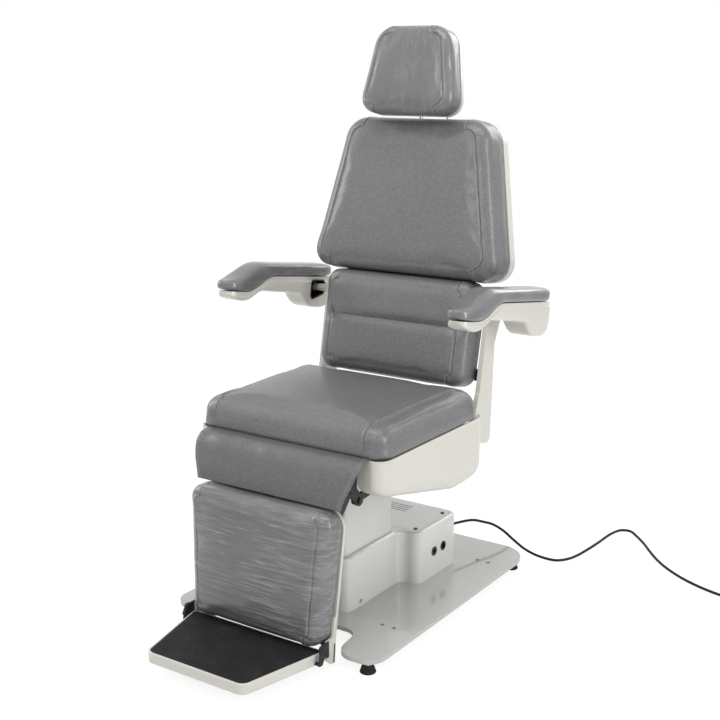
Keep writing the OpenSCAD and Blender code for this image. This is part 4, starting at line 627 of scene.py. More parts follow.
def stitches(name, lines, body):
    """Short threads laid along lines of a surface: one small spindle at each even place.

    A spindle's ring at the share t of its length has the radius 0.42 sqrt(1 - (2t - 1)^4) mm.
    """
    pitch = bpy.context.scene.chair_sizes.stitch_pitch
    t, turn = np.linspace(0, 1, 5)[:, None], np.arange(5) * TURN / 5
    r = THREAD_R * np.sqrt(np.maximum(0, 1 - (2 * t - 1) ** 4))
    base = np.stack([np.broadcast_to((t - 0.5) * (pitch * THREAD_SHARE), (5, 5)),
                     r * np.cos(turn), r * np.sin(turn) * 0.8], -1).reshape(-1, 3)
    threads = []
    for path, normal in lines:
        run = run_of(path)
        at = np.arange(pitch / 2, run[-1], pitch)
        d = unit(read_at(at + pitch / 4, run, path) - read_at(at - pitch / 4, run, path))
        n = read_at(at, run, normal)
        n = unit(n - d * (n * d).sum(1)[:, None])
        turned = np.einsum("vk,nkc->nvc", base, np.stack([d, np.cross(d, n), n], 1))
        points = (read_at(at, run, path) + n * THREAD_LIFT)[:, None] + turned
        threads.append((points.reshape(-1, 3), repeated(grid(5, 5, True), len(at), len(base))))
    return piece(name, mesh_of(*joined(*threads), sharp=0), thread_finish(), body)


# Finishes

def give(tree, node, sockets):
    """Gives each socket of a node its value or its Signal."""
    for key, value in sockets.items():
        if isinstance(value, Signal):
            tree.links.new(value.socket, node.inputs[key])
        else:
            node.inputs[key].default_value = value


def add(tree, kind, sockets=None, output=0, **settings):
    """New node: its settings first, then its sockets; one of its outputs as a Signal."""
    node = tree.nodes.new("ShaderNode" + kind)
    for key, value in settings.items():
        setattr(node, key, value)
    give(tree, node, sockets or {})
    return Signal(tree, node.outputs[output])


class Signal:
    """An output that arithmetic can be done with; each operator adds one Math node."""

    def __init__(self, tree, socket):
        self.tree, self.socket = tree, socket

    def math(self, operation, *values, clamp=False):
        return add(self.tree, "Math", dict(enumerate(values)), operation=operation, use_clamp=clamp)

    def __add__(self, other):
        return self.math("ADD", self, other)

    def __sub__(self, other):
        return self.math("SUBTRACT", self, other)

    def __rsub__(self, other):
        return self.math("SUBTRACT", other, self)

    def __mul__(self, other):
        return self.math("MULTIPLY", self, other)

    def __pow__(self, other):
        return self.math("POWER", self, other)

    __radd__ = __add__

    def clamped(self):
        return self.math("ADD", self, 0.0, clamp=True)

    def size(self):
        return self.math("ABSOLUTE", self)


class Finish:
    """A material being made: its shader, its place signal and its patterns."""

    def __init__(self, name):
        self.material = bpy.data.materials.new(name)
        self.material.use_nodes = True
        self.tree = self.material.node_tree
        self.shader = self.tree.nodes["Principled BSDF"]
        self.place = add(self.tree, "TexCoord", output="Object")
        self.under = {}

    def noise(self, scale, detail=3.0, stretch=(1, 1, 1)):
        vector = add(self.tree, "Mapping", {"Vector": self.place, "Scale": stretch})
        return add(self.tree, "TexNoise", {"Vector": vector, "Scale": scale, "Detail": detail})

    def grain(self):
        """Pebbles: 0 at the borders of cells about a millimetre across, 1 inside them."""
        edges = add(self.tree, "TexVoronoi", {"Vector": self.place, "Scale": 820}, "Distance",
                    feature="DISTANCE_TO_EDGE")
        return (edges * 3.2).clamped()

    def mix(self, factor, a, b):
        a, b = (c if isinstance(c, Signal) else (*c, 1) for c in (a, b))
        return add(self.tree, "Mix", {0: factor, 6: a, 7: b}, 2, data_type="RGBA")

    def raise_by(self, height, distance, strength):
        """One more relief over those before it."""
        self.under = {"Normal": add(self.tree, "Bump", {"Height": height, "Distance": distance,
                                                        "Strength": strength, **self.under})}

    def done(self, colour, rough, coat=None, **more):
        """The material with its colour, roughness, reliefs and clear coat (weight, roughness)."""
        give(self.tree, self.shader, {"Base Color": colour, "Roughness": rough, **self.under, **more})
        if coat:
            give(self.tree, self.shader, {"Coat Weight": coat[0], "Coat Roughness": coat[1]})
        return self.material


def shade(colour, factor):
    return tuple(min(1.0, c * factor) for c in colour)


def chosen(key):
    """A colour from the settings."""
    return tuple(getattr(bpy.context.scene.chair_finish, key))


@cache
def vinyl_finish(name="Grey vinyl", depth=1.0):
    """Fine-grained vinyl: pebble cells about a millimetre across under a soft gloss."""
    # A depth below 1 scales the colour down: painted shade for a part that lies in shade.
    f, c = Finish(name), shade(chosen("vinyl"), depth)
    grain, hide = f.grain(), f.noise(115, 4, (1, 1.25, 0.9))
    mottle = ((f.noise(170) - 0.5) * 2.8 + 0.5).clamped()
    tone = f.mix((f.noise(7) * 0.9 - 0.45 + mottle).clamped(), shade(c, 0.82), shade(c, 1.18))
    fold = (1 - (hide * 2 - 1).size() * 4).clamped()
    f.raise_by(hide * 0.7 - fold * 0.3, 0.0009, 0.7)
    f.raise_by(grain * 0.75 + f.noise(2600, 2) * 0.25, 0.00013, 0.55)
    # Cell borders, the low valleys of the grain's relief, mix toward 0.72 of the colour: painted shade.
    return f.done(f.mix(grain, f.mix(0.5, tone, shade(c, 0.72)), tone),
                  0.36 + f.noise(40, 2) * 0.12 - grain * 0.05, (0.35, 0.17))


@cache
def wrapped_finish(name, stretch, amount):
    """Vinyl under clear film: stretched folds with a sharp gloss over the grain."""
    f, c = Finish(name), chosen("wrapped")
    f.raise_by(f.grain(), 0.0001, 0.3)
    ridge = (1 - (f.noise(14, 4, stretch) * 2 - 1).size() * 3.2).clamped() ** 2
    ridge = ridge * ((f.noise(8, 2) - 0.42) * 4).clamped()
    fine = f.noise(46, 3, stretch)
    streak = ((fine - 0.6) * 11).clamped() * ((f.noise(6, 2) - 0.4) * 5).clamped()
    f.raise_by(ridge * 0.8 + fine * 0.35, 0.0024 * amount, 0.9)
    # Fold crests and streaks lightened toward 3.2 times the colour: partly whitened film, partly painted
    # highlight.
    pale = ((ridge * 0.4 + streak * 0.6) * amount).clamped()
    base = f.mix(((fine - 0.5) * (1.9 * amount) + 0.5).clamped(), shade(c, 0.74), shade(c, 1.2))
    return f.done(f.mix(pale, base, shade(c, 3.2)), 0.34 + f.noise(30, 2) * 0.12, (0.7, 0.08))


@cache
def thread_finish():
    """Sewing thread: twisted strands along it and a dry surface."""
    f = Finish("Sewing thread")
    f.raise_by(f.noise(2200, 2), 0.0001, 0.5)
    return f.done(f.mix(f.noise(900, 2), (0.3, 0.301, 0.304), (0.44, 0.442, 0.446)),
                  0.6 + f.noise(1400, 2) * 0.2)


@cache
def moulded_finish(name, key, rough):
    """Moulded plastic: faint orange peel, soft gloss and small scuffs."""
    f, c = Finish(name), chosen(key)
    scuff = ((f.noise(70, 4, (1, 1, 5)) - 0.66) * 7).clamped()
    f.raise_by(f.noise(520, 2), 0.00005, 0.3)
    return f.done(f.mix(f.noise(5), shade(c, 0.985), shade(c, 1.015)),
                  rough + scuff * 0.03 + f.noise(60, 2) * 0.015, (0.6, 0.05))


@cache
def painted_finish():
    """Painted steel plate: even enamel with a little dirt where feet stand."""
    f, c = Finish("Enamelled plate"), chosen("paint")
    dirt = ((f.noise(11, 5) - 0.5) * 2.2).clamped()
    f.raise_by(f.noise(700, 2), 0.00005, 0.4)
    return f.done(f.mix(dirt * 0.35, c, shade(c, 0.86)), 0.2 + dirt * 0.1 + f.noise(140, 2) * 0.04,
                  (0.75, 0.05))


@cache
def coated_finish():
    """Black powder coat: a close pebble with paler worn grains."""
    f, c = Finish("Black powder coat"), chosen("black")
    grain = f.noise(1500)
    f.raise_by(grain, 0.00012, 0.5)
    return f.done(f.mix(((f.noise(60, 4) - 0.6) * 5).clamped(), c, shade(c, 2.6)), 0.42 + grain * 0.2)


@cache
def black_plastic_finish():
    """Black moulded plastic with a matt spark-eroded skin."""
    f, c = Finish("Black plastic"), chosen("black")
    f.raise_by(f.noise(1900, 2), 0.00007, 0.5)
    return f.done(f.mix(f.noise(30), shade(c, 0.9), shade(c, 1.7)), 0.35 + f.noise(300, 2) * 0.15)


@cache
def rubber_finish(name="Cord rubber", rough=0.5):
    """Black rubber: dull, with a bloom of paler dust."""
    f, c = Finish(name), chosen("rubber")
    f.raise_by(f.noise(900), 0.00012, 0.5)
    return f.done(f.mix(((f.noise(26, 5) - 0.45) * 2.5).clamped(), c, shade(c, 2.2)),
                  rough + f.noise(210) * 0.15, **{"Specular IOR Level": 0.22})


@cache
def metal_finish(name, colour, rough, stretch):
    """Bare metal with drawn lines along the axis that isn't stretched."""
    f = Finish(name)
    lines = f.noise(420, 3, (1, 1, stretch))
    f.raise_by(lines, 0.00004, 0.4)
    return f.done(f.mix(f.noise(16), shade(colour, 0.9), colour), rough + lines * 0.14, Metallic=1.0)


@cache
def board_finish():
    """Plywood board: long grain with darker lines."""
    f = Finish("Plywood board")
    lines = f.noise(26, 4, (1, 9, 9))
    f.raise_by(lines, 0.0003, 0.5)
    return f.done(f.mix(lines, (0.16, 0.10, 0.055), (0.32, 0.22, 0.13)), 0.55 + lines * 0.2)


@cache
def nylon_finish():
    """Natural nylon: slightly cloudy and waxy."""
    f = Finish("Natural nylon")
    f.raise_by(f.noise(600, 2), 0.00008, 0.4)
    return f.done(f.mix(f.noise(40), (0.66, 0.66, 0.62), (0.76, 0.76, 0.72)), 0.38 + f.noise(120, 2) * 0.1)


def cream_finish():
    return moulded_finish("Cream shell", "cream", 0.3)


def cover_finish():
    return moulded_finish("Pale grey cover", "cover", 0.24)


def steel_finish():
    return metal_finish("Bright steel", (0.58, 0.585, 0.6), 0.26, 0.08)


def zinc_finish():
    return metal_finish("Zinc plate", (0.66, 0.67, 0.68), 0.36, 1.0)


CARRIED = (
    (zinc_finish, "foot_studs column_bolts control_box"),
    (black_plastic_finish, "lid_screws control_sockets headrest_guide armrest_hub_left armrest_hub_right"),
    (steel_finish, "cover_screws lift_mast lift_rod recline_shaft recline_rod headrest_posts"),
    (rubber_finish, "cord_gland"),
    (coated_finish, "fixed_column lift_actuator seat_frame knee_brackets knee_pins recline_actuator"),
    (coated_finish, "back_frame coupling_link legrest_arms"),
    (nylon_finish, "glide_pads"),
    (board_finish, "seat_board lumbar_board upper_board"),
    (cream_finish, "crossbar"))


def make_carried():
    """Finishes for the solid parts that stay as they are."""
    for finish, nodes in CARRIED:
        for node in nodes.split():
            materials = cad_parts[node].data.materials
            materials.clear()
            materials.append(finish())


# Cord

CORD_D = 7.0
CORD_R = CORD_D / 2
LIE = CORD_R + 0.3
CORD_EXIT = (105, 287, 108)
CORD_ROUTE = [
    (105, 300, 108), (112, 340, 105), (130, 388, 101), (149, 414, 92), (171, 432, 83),
    (195, 446, 66), (222, 456, 42), (252, 464, 20), (288, 470, 7), (334, 474, LIE),
    (360, 500, LIE), (372, 540, LIE), (379, 600, LIE), (383, 660, LIE), (386, 730, LIE),
    (398, 775, LIE), (424, 784, LIE), (452, 760, LIE), (490, 718, LIE), (524, 674, LIE),
    (566, 624, LIE), (620, 576, LIE), (684, 536, LIE), (756, 508, LIE), (836, 494, LIE),
    (910, 490, LIE)]
COIL_R, COIL_PITCH, COIL_RISE, COIL_TAIL = 50.0, 7.9, 8.0, 28.0
COIL_END, CLIMB_START = 2340, 1080
RELIEF_LENGTH, PLUG_LENGTH, PIN_APART = 24, 34, 9.5
PLUG_SECTIONS = ((0, 9, 8.4, 2.4), (2, 12.5, 9.6, 2.8), (6, 15.6, 10.6, 3.4), (12, 17, 11, 4),
                 (24, 17, 11, 4.4), (32, 16.6, 10.7, 4.6), (33.6, 15.9, 10, 4.6), (PLUG_LENGTH, 15, 9.2, 4.6))


def cord_path():
    """The route's smooth curve, then a coil that winds in, climbs half a turn and winds out.

    At the angle t the coil's radius is r - pitch * min(t, end - t) / 360, and its height
    follows half a cosine over the climbing half turn.
    """
    run = smooth_path(CORD_ROUTE, 7)
    last = run[-1] + (2 * CORD_D, 0, 0)
    centre = last + (CORD_D, COIL_R, 0)
    t = np.linspace(0, COIL_END, 235)
    r = COIL_R - COIL_PITCH * np.minimum(t, COIL_END - t) / 360
    lift = COIL_RISE * halfway((t - CLIMB_START) / 180)
    a = np.radians(t)
    coil = centre + np.stack([r * np.sin(a), -r * np.cos(a), lift], -1)
    tail = coil[-1] + np.outer(np.linspace(0.25, 1, 4), (-COIL_TAIL, 0, 0))
    return np.concatenate([[CORD_EXIT], run, [last], coil, tail])


def make_cord():
    """Mains cord and its plug: a round tube along the path, ending in a ribbed relief."""
    path = cord_path()
    end = path[-1]
    t = np.arange(48) * TURN / 48

    def section(along, half_y, half_z, power=2):
        """Superellipse square to X, at a distance past the cord's end."""
        return end + np.stack([np.full(48, -along), half_y * squared(np.cos(t), power),
                               half_z * squared(np.sin(t), power)], -1)
    ribs = []
    for start in 4.8 * np.arange(5):
        for a, proud in ((0, 0), (0.6, 0.8), (2.6, 0.8), (3.2, 0)):
            r = 4.4 + 3.4 * (start + a) / RELIEF_LENGTH + proud
            ribs.append(section(start + a, r, r))
    body = [section(RELIEF_LENGTH + a, *rest) for a, *rest in PLUG_SECTIONS]
    pin = [section(RELIEF_LENGTH + PLUG_LENGTH - 0.5 + a, r, r)
           for a, r in ((0, 2.4), (15, 2.4), (18, 2.1), (19, 1.2))]
    apart = [on_floor(np.stack(pin) + (0, y, 0)) for y in (-PIN_APART, PIN_APART)]
    cord = piece("mains_cord_tube", rings(on_floor(tube(path, CORD_R, 16))), rubber_finish(), "base",
                 ("mains_cord", "cord_coil"))
    plug = piece("plug_body", rings(on_floor(np.stack(ribs + body))), rubber_finish(), "base",
                 "mains_plug")
    pins = piece("plug_pins", rings(*apart), steel_finish(), "base")
    metres = on_floor(path)
    round(float(run_of(metres)[-1]), 3)


# Base

PLATE = [[-290, 420, 78], [-290, -332, 45], [-188, -332, 45], [-172, -222, 36], [172, -222, 36],
         [188, -332, 45], [290, -332, 45], [290, 420, 78]]
PLATE_LOW, PLATE_HIGH, HOLE_R = 27, 37, 5.5
HOLES = [(x, y) for x in (-231, -200, 200, 231) for y in (-162, 292)]
FEET = [(x, y) for x in (-258, 258) for y in (-308, 372)]
FOOT = [(17.2, 0), (18, 0.8), (18.2, 2.6), (17.8, 4), (16.7, 5), (16.1, 7.5), (15.4, 10.6), (14.4, 13.6),
        (13.1, 16.2), (12.6, 17.6), (12.4, 18.4), (11.6, 19), (7, 19)]


def make_plate():
    """Floor plate with its fixing holes, and four bell-shaped rubber feet."""
    holes = [circle(x, y, HOLE_R) for x, y in HOLES]
    piece("floor_plate_steel", plate(PLATE_LOW, PLATE_HIGH, on_floor, outline(PLATE, 18)[0], *holes),
          painted_finish(), "base", "floor_plate", bevel=0.9, steps=2)
    piece("rubber_feet", rings(*(on_floor(lathe(FOOT, x, y)) for x, y in FEET)),
          rubber_finish("Foot rubber", 0.55), "base", "foot_pads")


COVER_SIDE, COVER_TOP, COVER_R = 157.0, 172.0, 8
COVER = [[-103, -165, 26], [103, -165, 26], [103, 69, 26], [157, 69, 26], [157, 261, 26], [-157, 261, 26],
         [-157, 69, 26], [-103, 69, 26]]
COLUMN_HOLE = (-90.5, -152.5, 90.5, 55.5, 10)
LID = (-146, 80, 146, 239)
LID_GAP, LID_R, LID_LOW, LID_HIGH = 0.8, 5, 169.5, 172.2
LEDGE_Z, LEDGE_WIDE = 169.4, 9
SOCKETS, SOCKET_Z, SOCKET_R = (143, 187), 103, 10.2


def make_cover():
    """Base cover: one skin carried round its outline, open for the sleeve, lid and sockets."""
    steps = 14
    bend_z = COVER_TOP - COVER_R
    profile = np.concatenate([[(0, PLATE_HIGH)], arc(COVER_R, COVER_R, bend_z, 180, 90, 10)])
    side = carried(COVER, profile, steps)
    flank = 4 * (steps + 1) - 1
    quads = [np.delete(grid(*side.shape[:2], True), flank, 0)]
    y0, y1 = side[0, flank:flank + 2, 1]
    top = [side[-1, :, :2], box_loop(*COLUMN_HOLE)[::-1], box_loop(*LID, LID_R)[::-1]]
    wall = [np.array([(y0, PLATE_HIGH), (y1, PLATE_HIGH), (y1, bend_z), (y0, bend_z)])]
    wall += [circle(y, SOCKET_Z, SOCKET_R, 32)[::-1] for y in SOCKETS]
    points, tris = [side.reshape(-1, 3)], []
    for loops, axis, level in ((top, 2, COVER_TOP), (wall, 0, COVER_SIDE)):
        tris.append(flat_faces(loops) + sum(map(len, points)))
        points.append(np.insert(np.concatenate(loops), axis, level, axis=1))
    step = [(0, COVER_TOP), (0, LEDGE_Z), (LEDGE_WIDE, LEDGE_Z), (LEDGE_WIDE, LEDGE_Z - 2.4)]
    ledge = carried(box(*LID, LID_R), step, 6)
    quads.append(grid(*ledge.shape[:2], True) + sum(map(len, points)))
    points.append(ledge.reshape(-1, 3))
    p, q, t, _ = weld(on_floor(np.concatenate(points)), np.concatenate(quads), np.concatenate(tris))
    piece("cover_skin", mesh_of(p, q, t, sharp=32), cover_finish(), "base", "base_cover",
          wall=2.6, bevel=0.7, steps=2, even=False)
    x0, ly0, x1, ly1 = LID
    rim = box_loop(x0 + LID_GAP, ly0 + LID_GAP, x1 - LID_GAP, ly1 - LID_GAP, 4.4)
    slots = [box_loop(-46, 219 - 12 * k, 46, 223 - 12 * k, 1.9) for k in range(4)]
    piece("lid_panel", plate(LID_LOW, LID_HIGH, on_floor, rim, *slots), cover_finish(), "base",
          "service_lid", bevel=0.6, steps=2)


SLEEVE = box(-89, -151, 89, 54, 9)
SLEEVE_WALL, SLEEVE_ROUND = 2, 0.4
SLEEVES = (("lower_sleeve", 3.3, 37, 374, "base", "fixed_sleeve"),
           ("upper_sleeve", 0, 60, 396, "lift", "moving_sleeve"))


def make_column():
    """Telescoping sleeves: a thin wall carried round a rounded rectangle."""
    wall, r = SLEEVE_WALL, SLEEVE_ROUND
    for name, d, low, high, body, node in SLEEVES:
        profile = [(d + r, low), (d, low + r), (d, high - r), (d + r, high), (d + wall - r, high),
                   (d + wall, high - r), (d + wall, low + r), (d + wall - r, low)]
        piece(name, rings(on_floor(carried(SLEEVE, profile)), looped=True),
              moulded_finish("Column sleeve", "cover", 0.3), body, node)


# Seat

SKIRT_HALF, SKIRT_FRONT, SKIRT_TOP, SKIRT_R = 262.0, -257.0, 461.7, 34
SKIRT_LOW, SKIRT_FLAT_Y, SKIRT_REAR_Y = 311, 60, 201
SKIRT_DRAWN, SKIRT_POWER, SKIRT_FOOT_SHARE = 16, 2.3, 0.28
OPENING_HALF, OPENING_TOP, OPENING_R = 195, 448, 27


def skirt_low(y):
    """Lower edge: a straight fall to y = 60, then a sixth-power rise to the rear."""
    rise = SKIRT_LOW + 32 * np.clip((y - SKIRT_FLAT_Y) / (SKIRT_REAR_Y - SKIRT_FLAT_Y), 0, 1) ** 6
    fall = SKIRT_LOW + 72 * (SKIRT_FLAT_Y - y) / (SKIRT_FLAT_Y - SKIRT_FRONT)
    return np.where(y > SKIRT_FLAT_Y, rise, fall)


def make_seat_cover():
    """Seat cover: a skirt drawn in at its foot by drawn * (1 - (1 - u^power)^(1 / power)), where
    u goes from 0 at the foot band's top to 1 at the lower edge."""
    corner_x = SKIRT_R - SKIRT_HALF
    front_y, rear_y = SKIRT_FRONT + SKIRT_R, SKIRT_REAR_Y - SKIRT_R

    def bend(y, first, last, count):
        t = np.radians(np.linspace(first, last, count))
        n = np.stack([np.cos(t), np.sin(t)], -1)
        return (corner_x, y) + SKIRT_R * n, n
    ys = np.linspace(rear_y, front_y, 52)[1:-1]
    flank = np.stack([np.full(50, -SKIRT_HALF), ys], -1), np.tile((-1.0, 0.0), (50, 1))
    xs = corner_x + np.array([6, 12, 17, 21, 25, 28, 30.5, 32.2, 33.0])
    face = np.stack([xs, np.full(9, SKIRT_FRONT)], -1), np.tile((0.0, -1.0), (9, 1))
    p, n = (np.concatenate(c) for c in zip(bend(rear_y, 126.04, 180, 10), flank,
                                           bend(front_y, 180, 270, 16), face))
    full = skirt_low(p[:, 1])
    near = np.clip(OPENING_R - (-OPENING_HALF - p[:, 0]), 0, OPENING_R) * (p[:, 1] < SKIRT_FRONT + 0.1)
    low = full + OPENING_R - np.sqrt(OPENING_R ** 2 - near ** 2)
    z = low + (SKIRT_TOP - low) * np.linspace(0, 1, 44)[:, None] ** 1.6
    u = np.clip(1 - (z - full) / (SKIRT_TOP - full) / SKIRT_FOOT_SHARE, 0, 1)
    d = SKIRT_DRAWN * (1 - (1 - u ** SKIRT_POWER) ** (1 / SKIRT_POWER))
    g = np.concatenate([p[None] - d[..., None] * n[None], z[..., None]], -1)
    x, rows = np.meshgrid(np.linspace(0.1 - OPENING_HALF, OPENING_HALF - 0.1, 40),
                          np.linspace(OPENING_TOP, SKIRT_TOP, 4))
    strip = np.stack([x, np.full(x.shape, SKIRT_FRONT), rows], -1)
    points, quads = joined(surface(g), surface(g[:, ::-1] * (-1, 1, 1)), surface(strip))
    piece("seat_skirt", mesh_of(on_floor(points), quads), cream_finish(), "lift",
          "seat_cover", wall=4, bevel=1.2)


def make_seat_cushion():
    """Seat cushion with a gusset seam near each side."""
    pad = Pad(-255, 172, 260, 262, -532, -462, 34, 45, 34, crown=8)
    cushion("seat_pad", pad, in_seat, vinyl_finish(), "lift", "seat_cushion", 1, 11)


APRON_ROUTE = [(-246, 463.5, 226), (-265, 463.5, 226), (-284, 459, 226), (-303, 442, 224), (-317, 412, 216),
               (-325, 386, 206), (-329, 364, 200)]


def make_apron():
    """Apron: a strip along a smooth route, with faint waves across it and sewn edges."""
    line = smooth_path(APRON_ROUTE, 9)
    d = unit(np.gradient(line[:, :2], axis=0))
    up = np.stack([-d[:, 1], d[:, 0]], -1)
    x = np.concatenate([np.linspace(-1, -0.93, 8), np.linspace(-0.93, 0.93, 66)[1:-1],
                        np.linspace(0.93, 1, 8)])
    s = np.linspace(0, 1, len(line))[:, None]
    wave = 0.9 * np.sin(x * 9 + s * 3) * np.sin(math.pi * s) + 0.6 * np.sin(x * 21 - s * 5) * s * (1 - s) * 4
    lift = 0.6 + wave - 1.2 * np.clip((np.abs(x) - 0.965) / 0.035, 0, 1)[None] ** 2
    yz = line[:, None, :2] - lift[..., None] * up[:, None]
    g = on_floor(np.concatenate([(x[None] * line[:, 2:])[..., None], yz], -1))
    # The apron's vinyl is darkened to 0.76 of the colour: painted shade.
    obj = piece("front_apron", mesh_of(*surface(g, True), sharp=0), vinyl_finish("Shaded vinyl", 0.76), None,
                "apron", wall=2, even=False)
    middle = len(x) // 2
    n = grid_normals(g)
    n = n if n[len(line) // 2, middle, 1] < 0 else -n
    lines = [(g[2:-1, c], n[2:-1, c]) for c in (3, 5, len(x) - 4, len(x) - 6)]
    sewn = stitches("apron_stitches", lines, None)
    for o in (obj, sewn):
        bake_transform(o)
    a, b = g[:-1, 1:] - g[:-1, :-1], g[1:, :-1] - g[:-1, :-1]
    cut = float(np.linalg.norm(np.cross(a, b), axis=-1).sum())
    round(float(run_of(g[:, middle])[-1]) + 0.002, 3)


# Backrest

STRUT = [[-26, -34, 16], [84, -34, 16], [47, 215, 16], [66, 285, 16], [66, 338, 16], [-4, 338, 16],
         [-2, 95, 16]]
STRUT_T, SHAFT_HOLE_R, BAR_HOLE_R = 12, 14.05, 10.1
UPPER = (280, 203)
HEAD = (748, 959, 138, 101)


def make_back():
    """Side struts, lumbar and upper cushions, and the rear shell."""
    loops = [outline(STRUT)[0], circle(0, 0, SHAFT_HOLE_R), circle(BAR_Y, BAR_Z, BAR_HOLE_R)]
    for side, x in (("left", 229), ("right", -241)):
        piece("strut_" + side, plate(0, STRUT_T, upright(x, in_back), *loops), cream_finish(), "backrest",
              "side_strut_" + side, bevel=2.2, steps=4)
    lumbar = Pad(99, 359, 215, 218, -54, 23.7, 24, 36, 36, channel=243)
    cushion("lumbar_pad", lumbar, in_back, vinyl_finish(), "backrest", "lumbar_cushion", 0.7, 21)
    upper = Pad(359, 751, *UPPER, -54, 23.7, 26, 62, 52, crown=6)
    cushion("upper_pad", upper, in_back, vinyl_finish(), "backrest", "upper_cushion", 1, 31)
    shell("rear_shell", (361, 751, *UPPER, 65, 20, 62, 52), 24.0, "backrest", "back_shell", 3.2)


def shell(name, form, lip, body, node, wall):
    """Moulded tray: the back half of a pad's form outside, the same drawn in by the wall
    inside, and a strip between their two borders."""
    z0, z1, a0, a1, far, r, rc0, rc1 = form
    skins = []
    for w in (0.0, wall):
        pad = Pad(z0 + w, z1 - w, a0 - w, a1 - w, 0, far - w, 30, rc0 - w, rc1 - w, back_r=r - w)
        pad.part, pad.spare = lip, w
        if not skins:
            heights = (pad.stations(9, True) - z0) / (z1 - z0)
        skins.append(in_back(pad.drape(pad.z0 + (pad.z1 - pad.z0) * heights, pad.far, pad.back_r, 9, True)))
    points, quads = joined(surface(skins[0]), surface(skins[1], True))
    k = np.arange(len(points) // 2).reshape(skins[0].shape[:2])
    edge = np.concatenate([k[0, :-1], k[:-1, -1], k[-1, :0:-1], k[:0:-1, 0]])
    on = np.roll(edge, -1)
    strip = np.stack([on, edge, edge + k.size, on + k.size], -1)
    piece(name, solid(points, np.concatenate([quads, strip]), sharp=30), cream_finish(), body,
          node, bevel=0.7, steps=2)


def make_headrest():
    """Headrest cushion under film, its shell and the two lugs that it tilts on."""
    pad = Pad(*HEAD, -114, -58.3, 19, 48, 44, crown=4, seam=3)
    cushion("head_pad", pad, in_back, wrapped_finish("Wrapped headrest", (2.4, 1, 0.8), 0.35), "headrest",
            "headrest_cushion", 0.5, 41)
    shell("head_shell", (*HEAD, -37, 14, 48, 44), -58.0, "headrest", "headrest_shell", 3.5)
    rim = outline([[-45, 826, 2], [14, 838, 11.5], [14, 862, 11.5], [-45, 874, 2]])[0]
    for side, x in (("left", 31), ("right", -39)):
        piece("tilt_lug_" + side, plate(0, 8, upright(x, in_back), rim, circle(2, 850, 5.05)), cream_finish(),
              "headrest", bevel=0.8)


# Armrests

ARM_REAR, ARM_LENGTH, ARM_REACH, ARM_DEPTH = 72, 446, 374, 55
PAD_HALF, PAD_END_SHARE = 36, 0.14
TIP_HALF, WIDENING, WIDENING_RUN, TIP_R, REAR_R = 27, 6, 110, 24, 14


def pad_low(u):
    """Height of a pad's underside at the share u of its length: half a cosine's fall."""
    return 28 - 39 * halfway((u - 0.6) / (0.85 - 0.6))


def pad_high(u):
    return 62 - 43 * halfway((u - 0.68) / (0.97 - 0.68))


SHELL_EDGE_SHARES = [
    (0.15, 0.46), (0.139, -0.11), (0.107, -0.8), (0.053, -1), (-0.067, -0.98), (-0.128, -0.84),
    (-0.176, -0.58), (-0.241, -0.33), (-0.595, -0.2), (-0.679, -0.2), (-0.743, -0.4), (-0.795, -0.58),
    (-0.862, -0.62), (-0.943, -0.47), (-0.971, -0.24)]
LEDGE = ((3.6, 0), (2.5, 0.4), (2.1, 1.5), (2.1, 11), (1.7, 11.8), (0.7, 12.1), (0.15, 12.8), (0, 14))
POCKET = [[-42, -34, 10], [17, -17, 10], [17, 18, 10], [-42, 18, 10]]
BEZEL = ((-2.2, 0.0), (-2.2, 1.0), (-1.6, 1.5), (0.4, 1.5), (0.9, 1.0), (0.9, 0.0))


def make_arm_pad(name, side, node, body):
    """Armrest pad: superellipse sections whose fullness follows a quarter circle at each end."""
    u = halfway(np.linspace(0, 1, 110))
    near = np.maximum(0, np.maximum(1 - u / PAD_END_SHARE, 1 - (1 - u) / PAD_END_SHARE))
    full = np.sqrt(np.maximum(0.0009, 1 - near ** 2))[:, None]
    t = np.arange(64) * TURN / 64
    low, high = pad_low(u)[:, None], pad_high(u)[:, None]
    mid, deep = (low + high) / 2, (high - low) / 2 * np.sqrt(full)
    c, s = np.cos(t)[None], np.sin(t)[None]
    power = np.where(s > 0, 3.0, 5.0)
    x = PAD_HALF * full * squared(c, power)
    h = mid + np.where(s > 0, deep, deep - 0.3) * squared(s, power)
    h = h + np.where(s > 0, 0.5 * np.sin(u[:, None] * 9) * (np.abs(c) < 0.9), 0) * full
    y = np.broadcast_to((ARM_REAR - u * ARM_LENGTH)[:, None], x.shape)
    mesh = rings(in_arm(side)(np.stack([x, y, h], -1)), sharp=0)
    film = wrapped_finish("Wrapped armrest", (1, 0.5, 1), 0.4)
    piece(name, mesh, film, body, node, smooth=1)


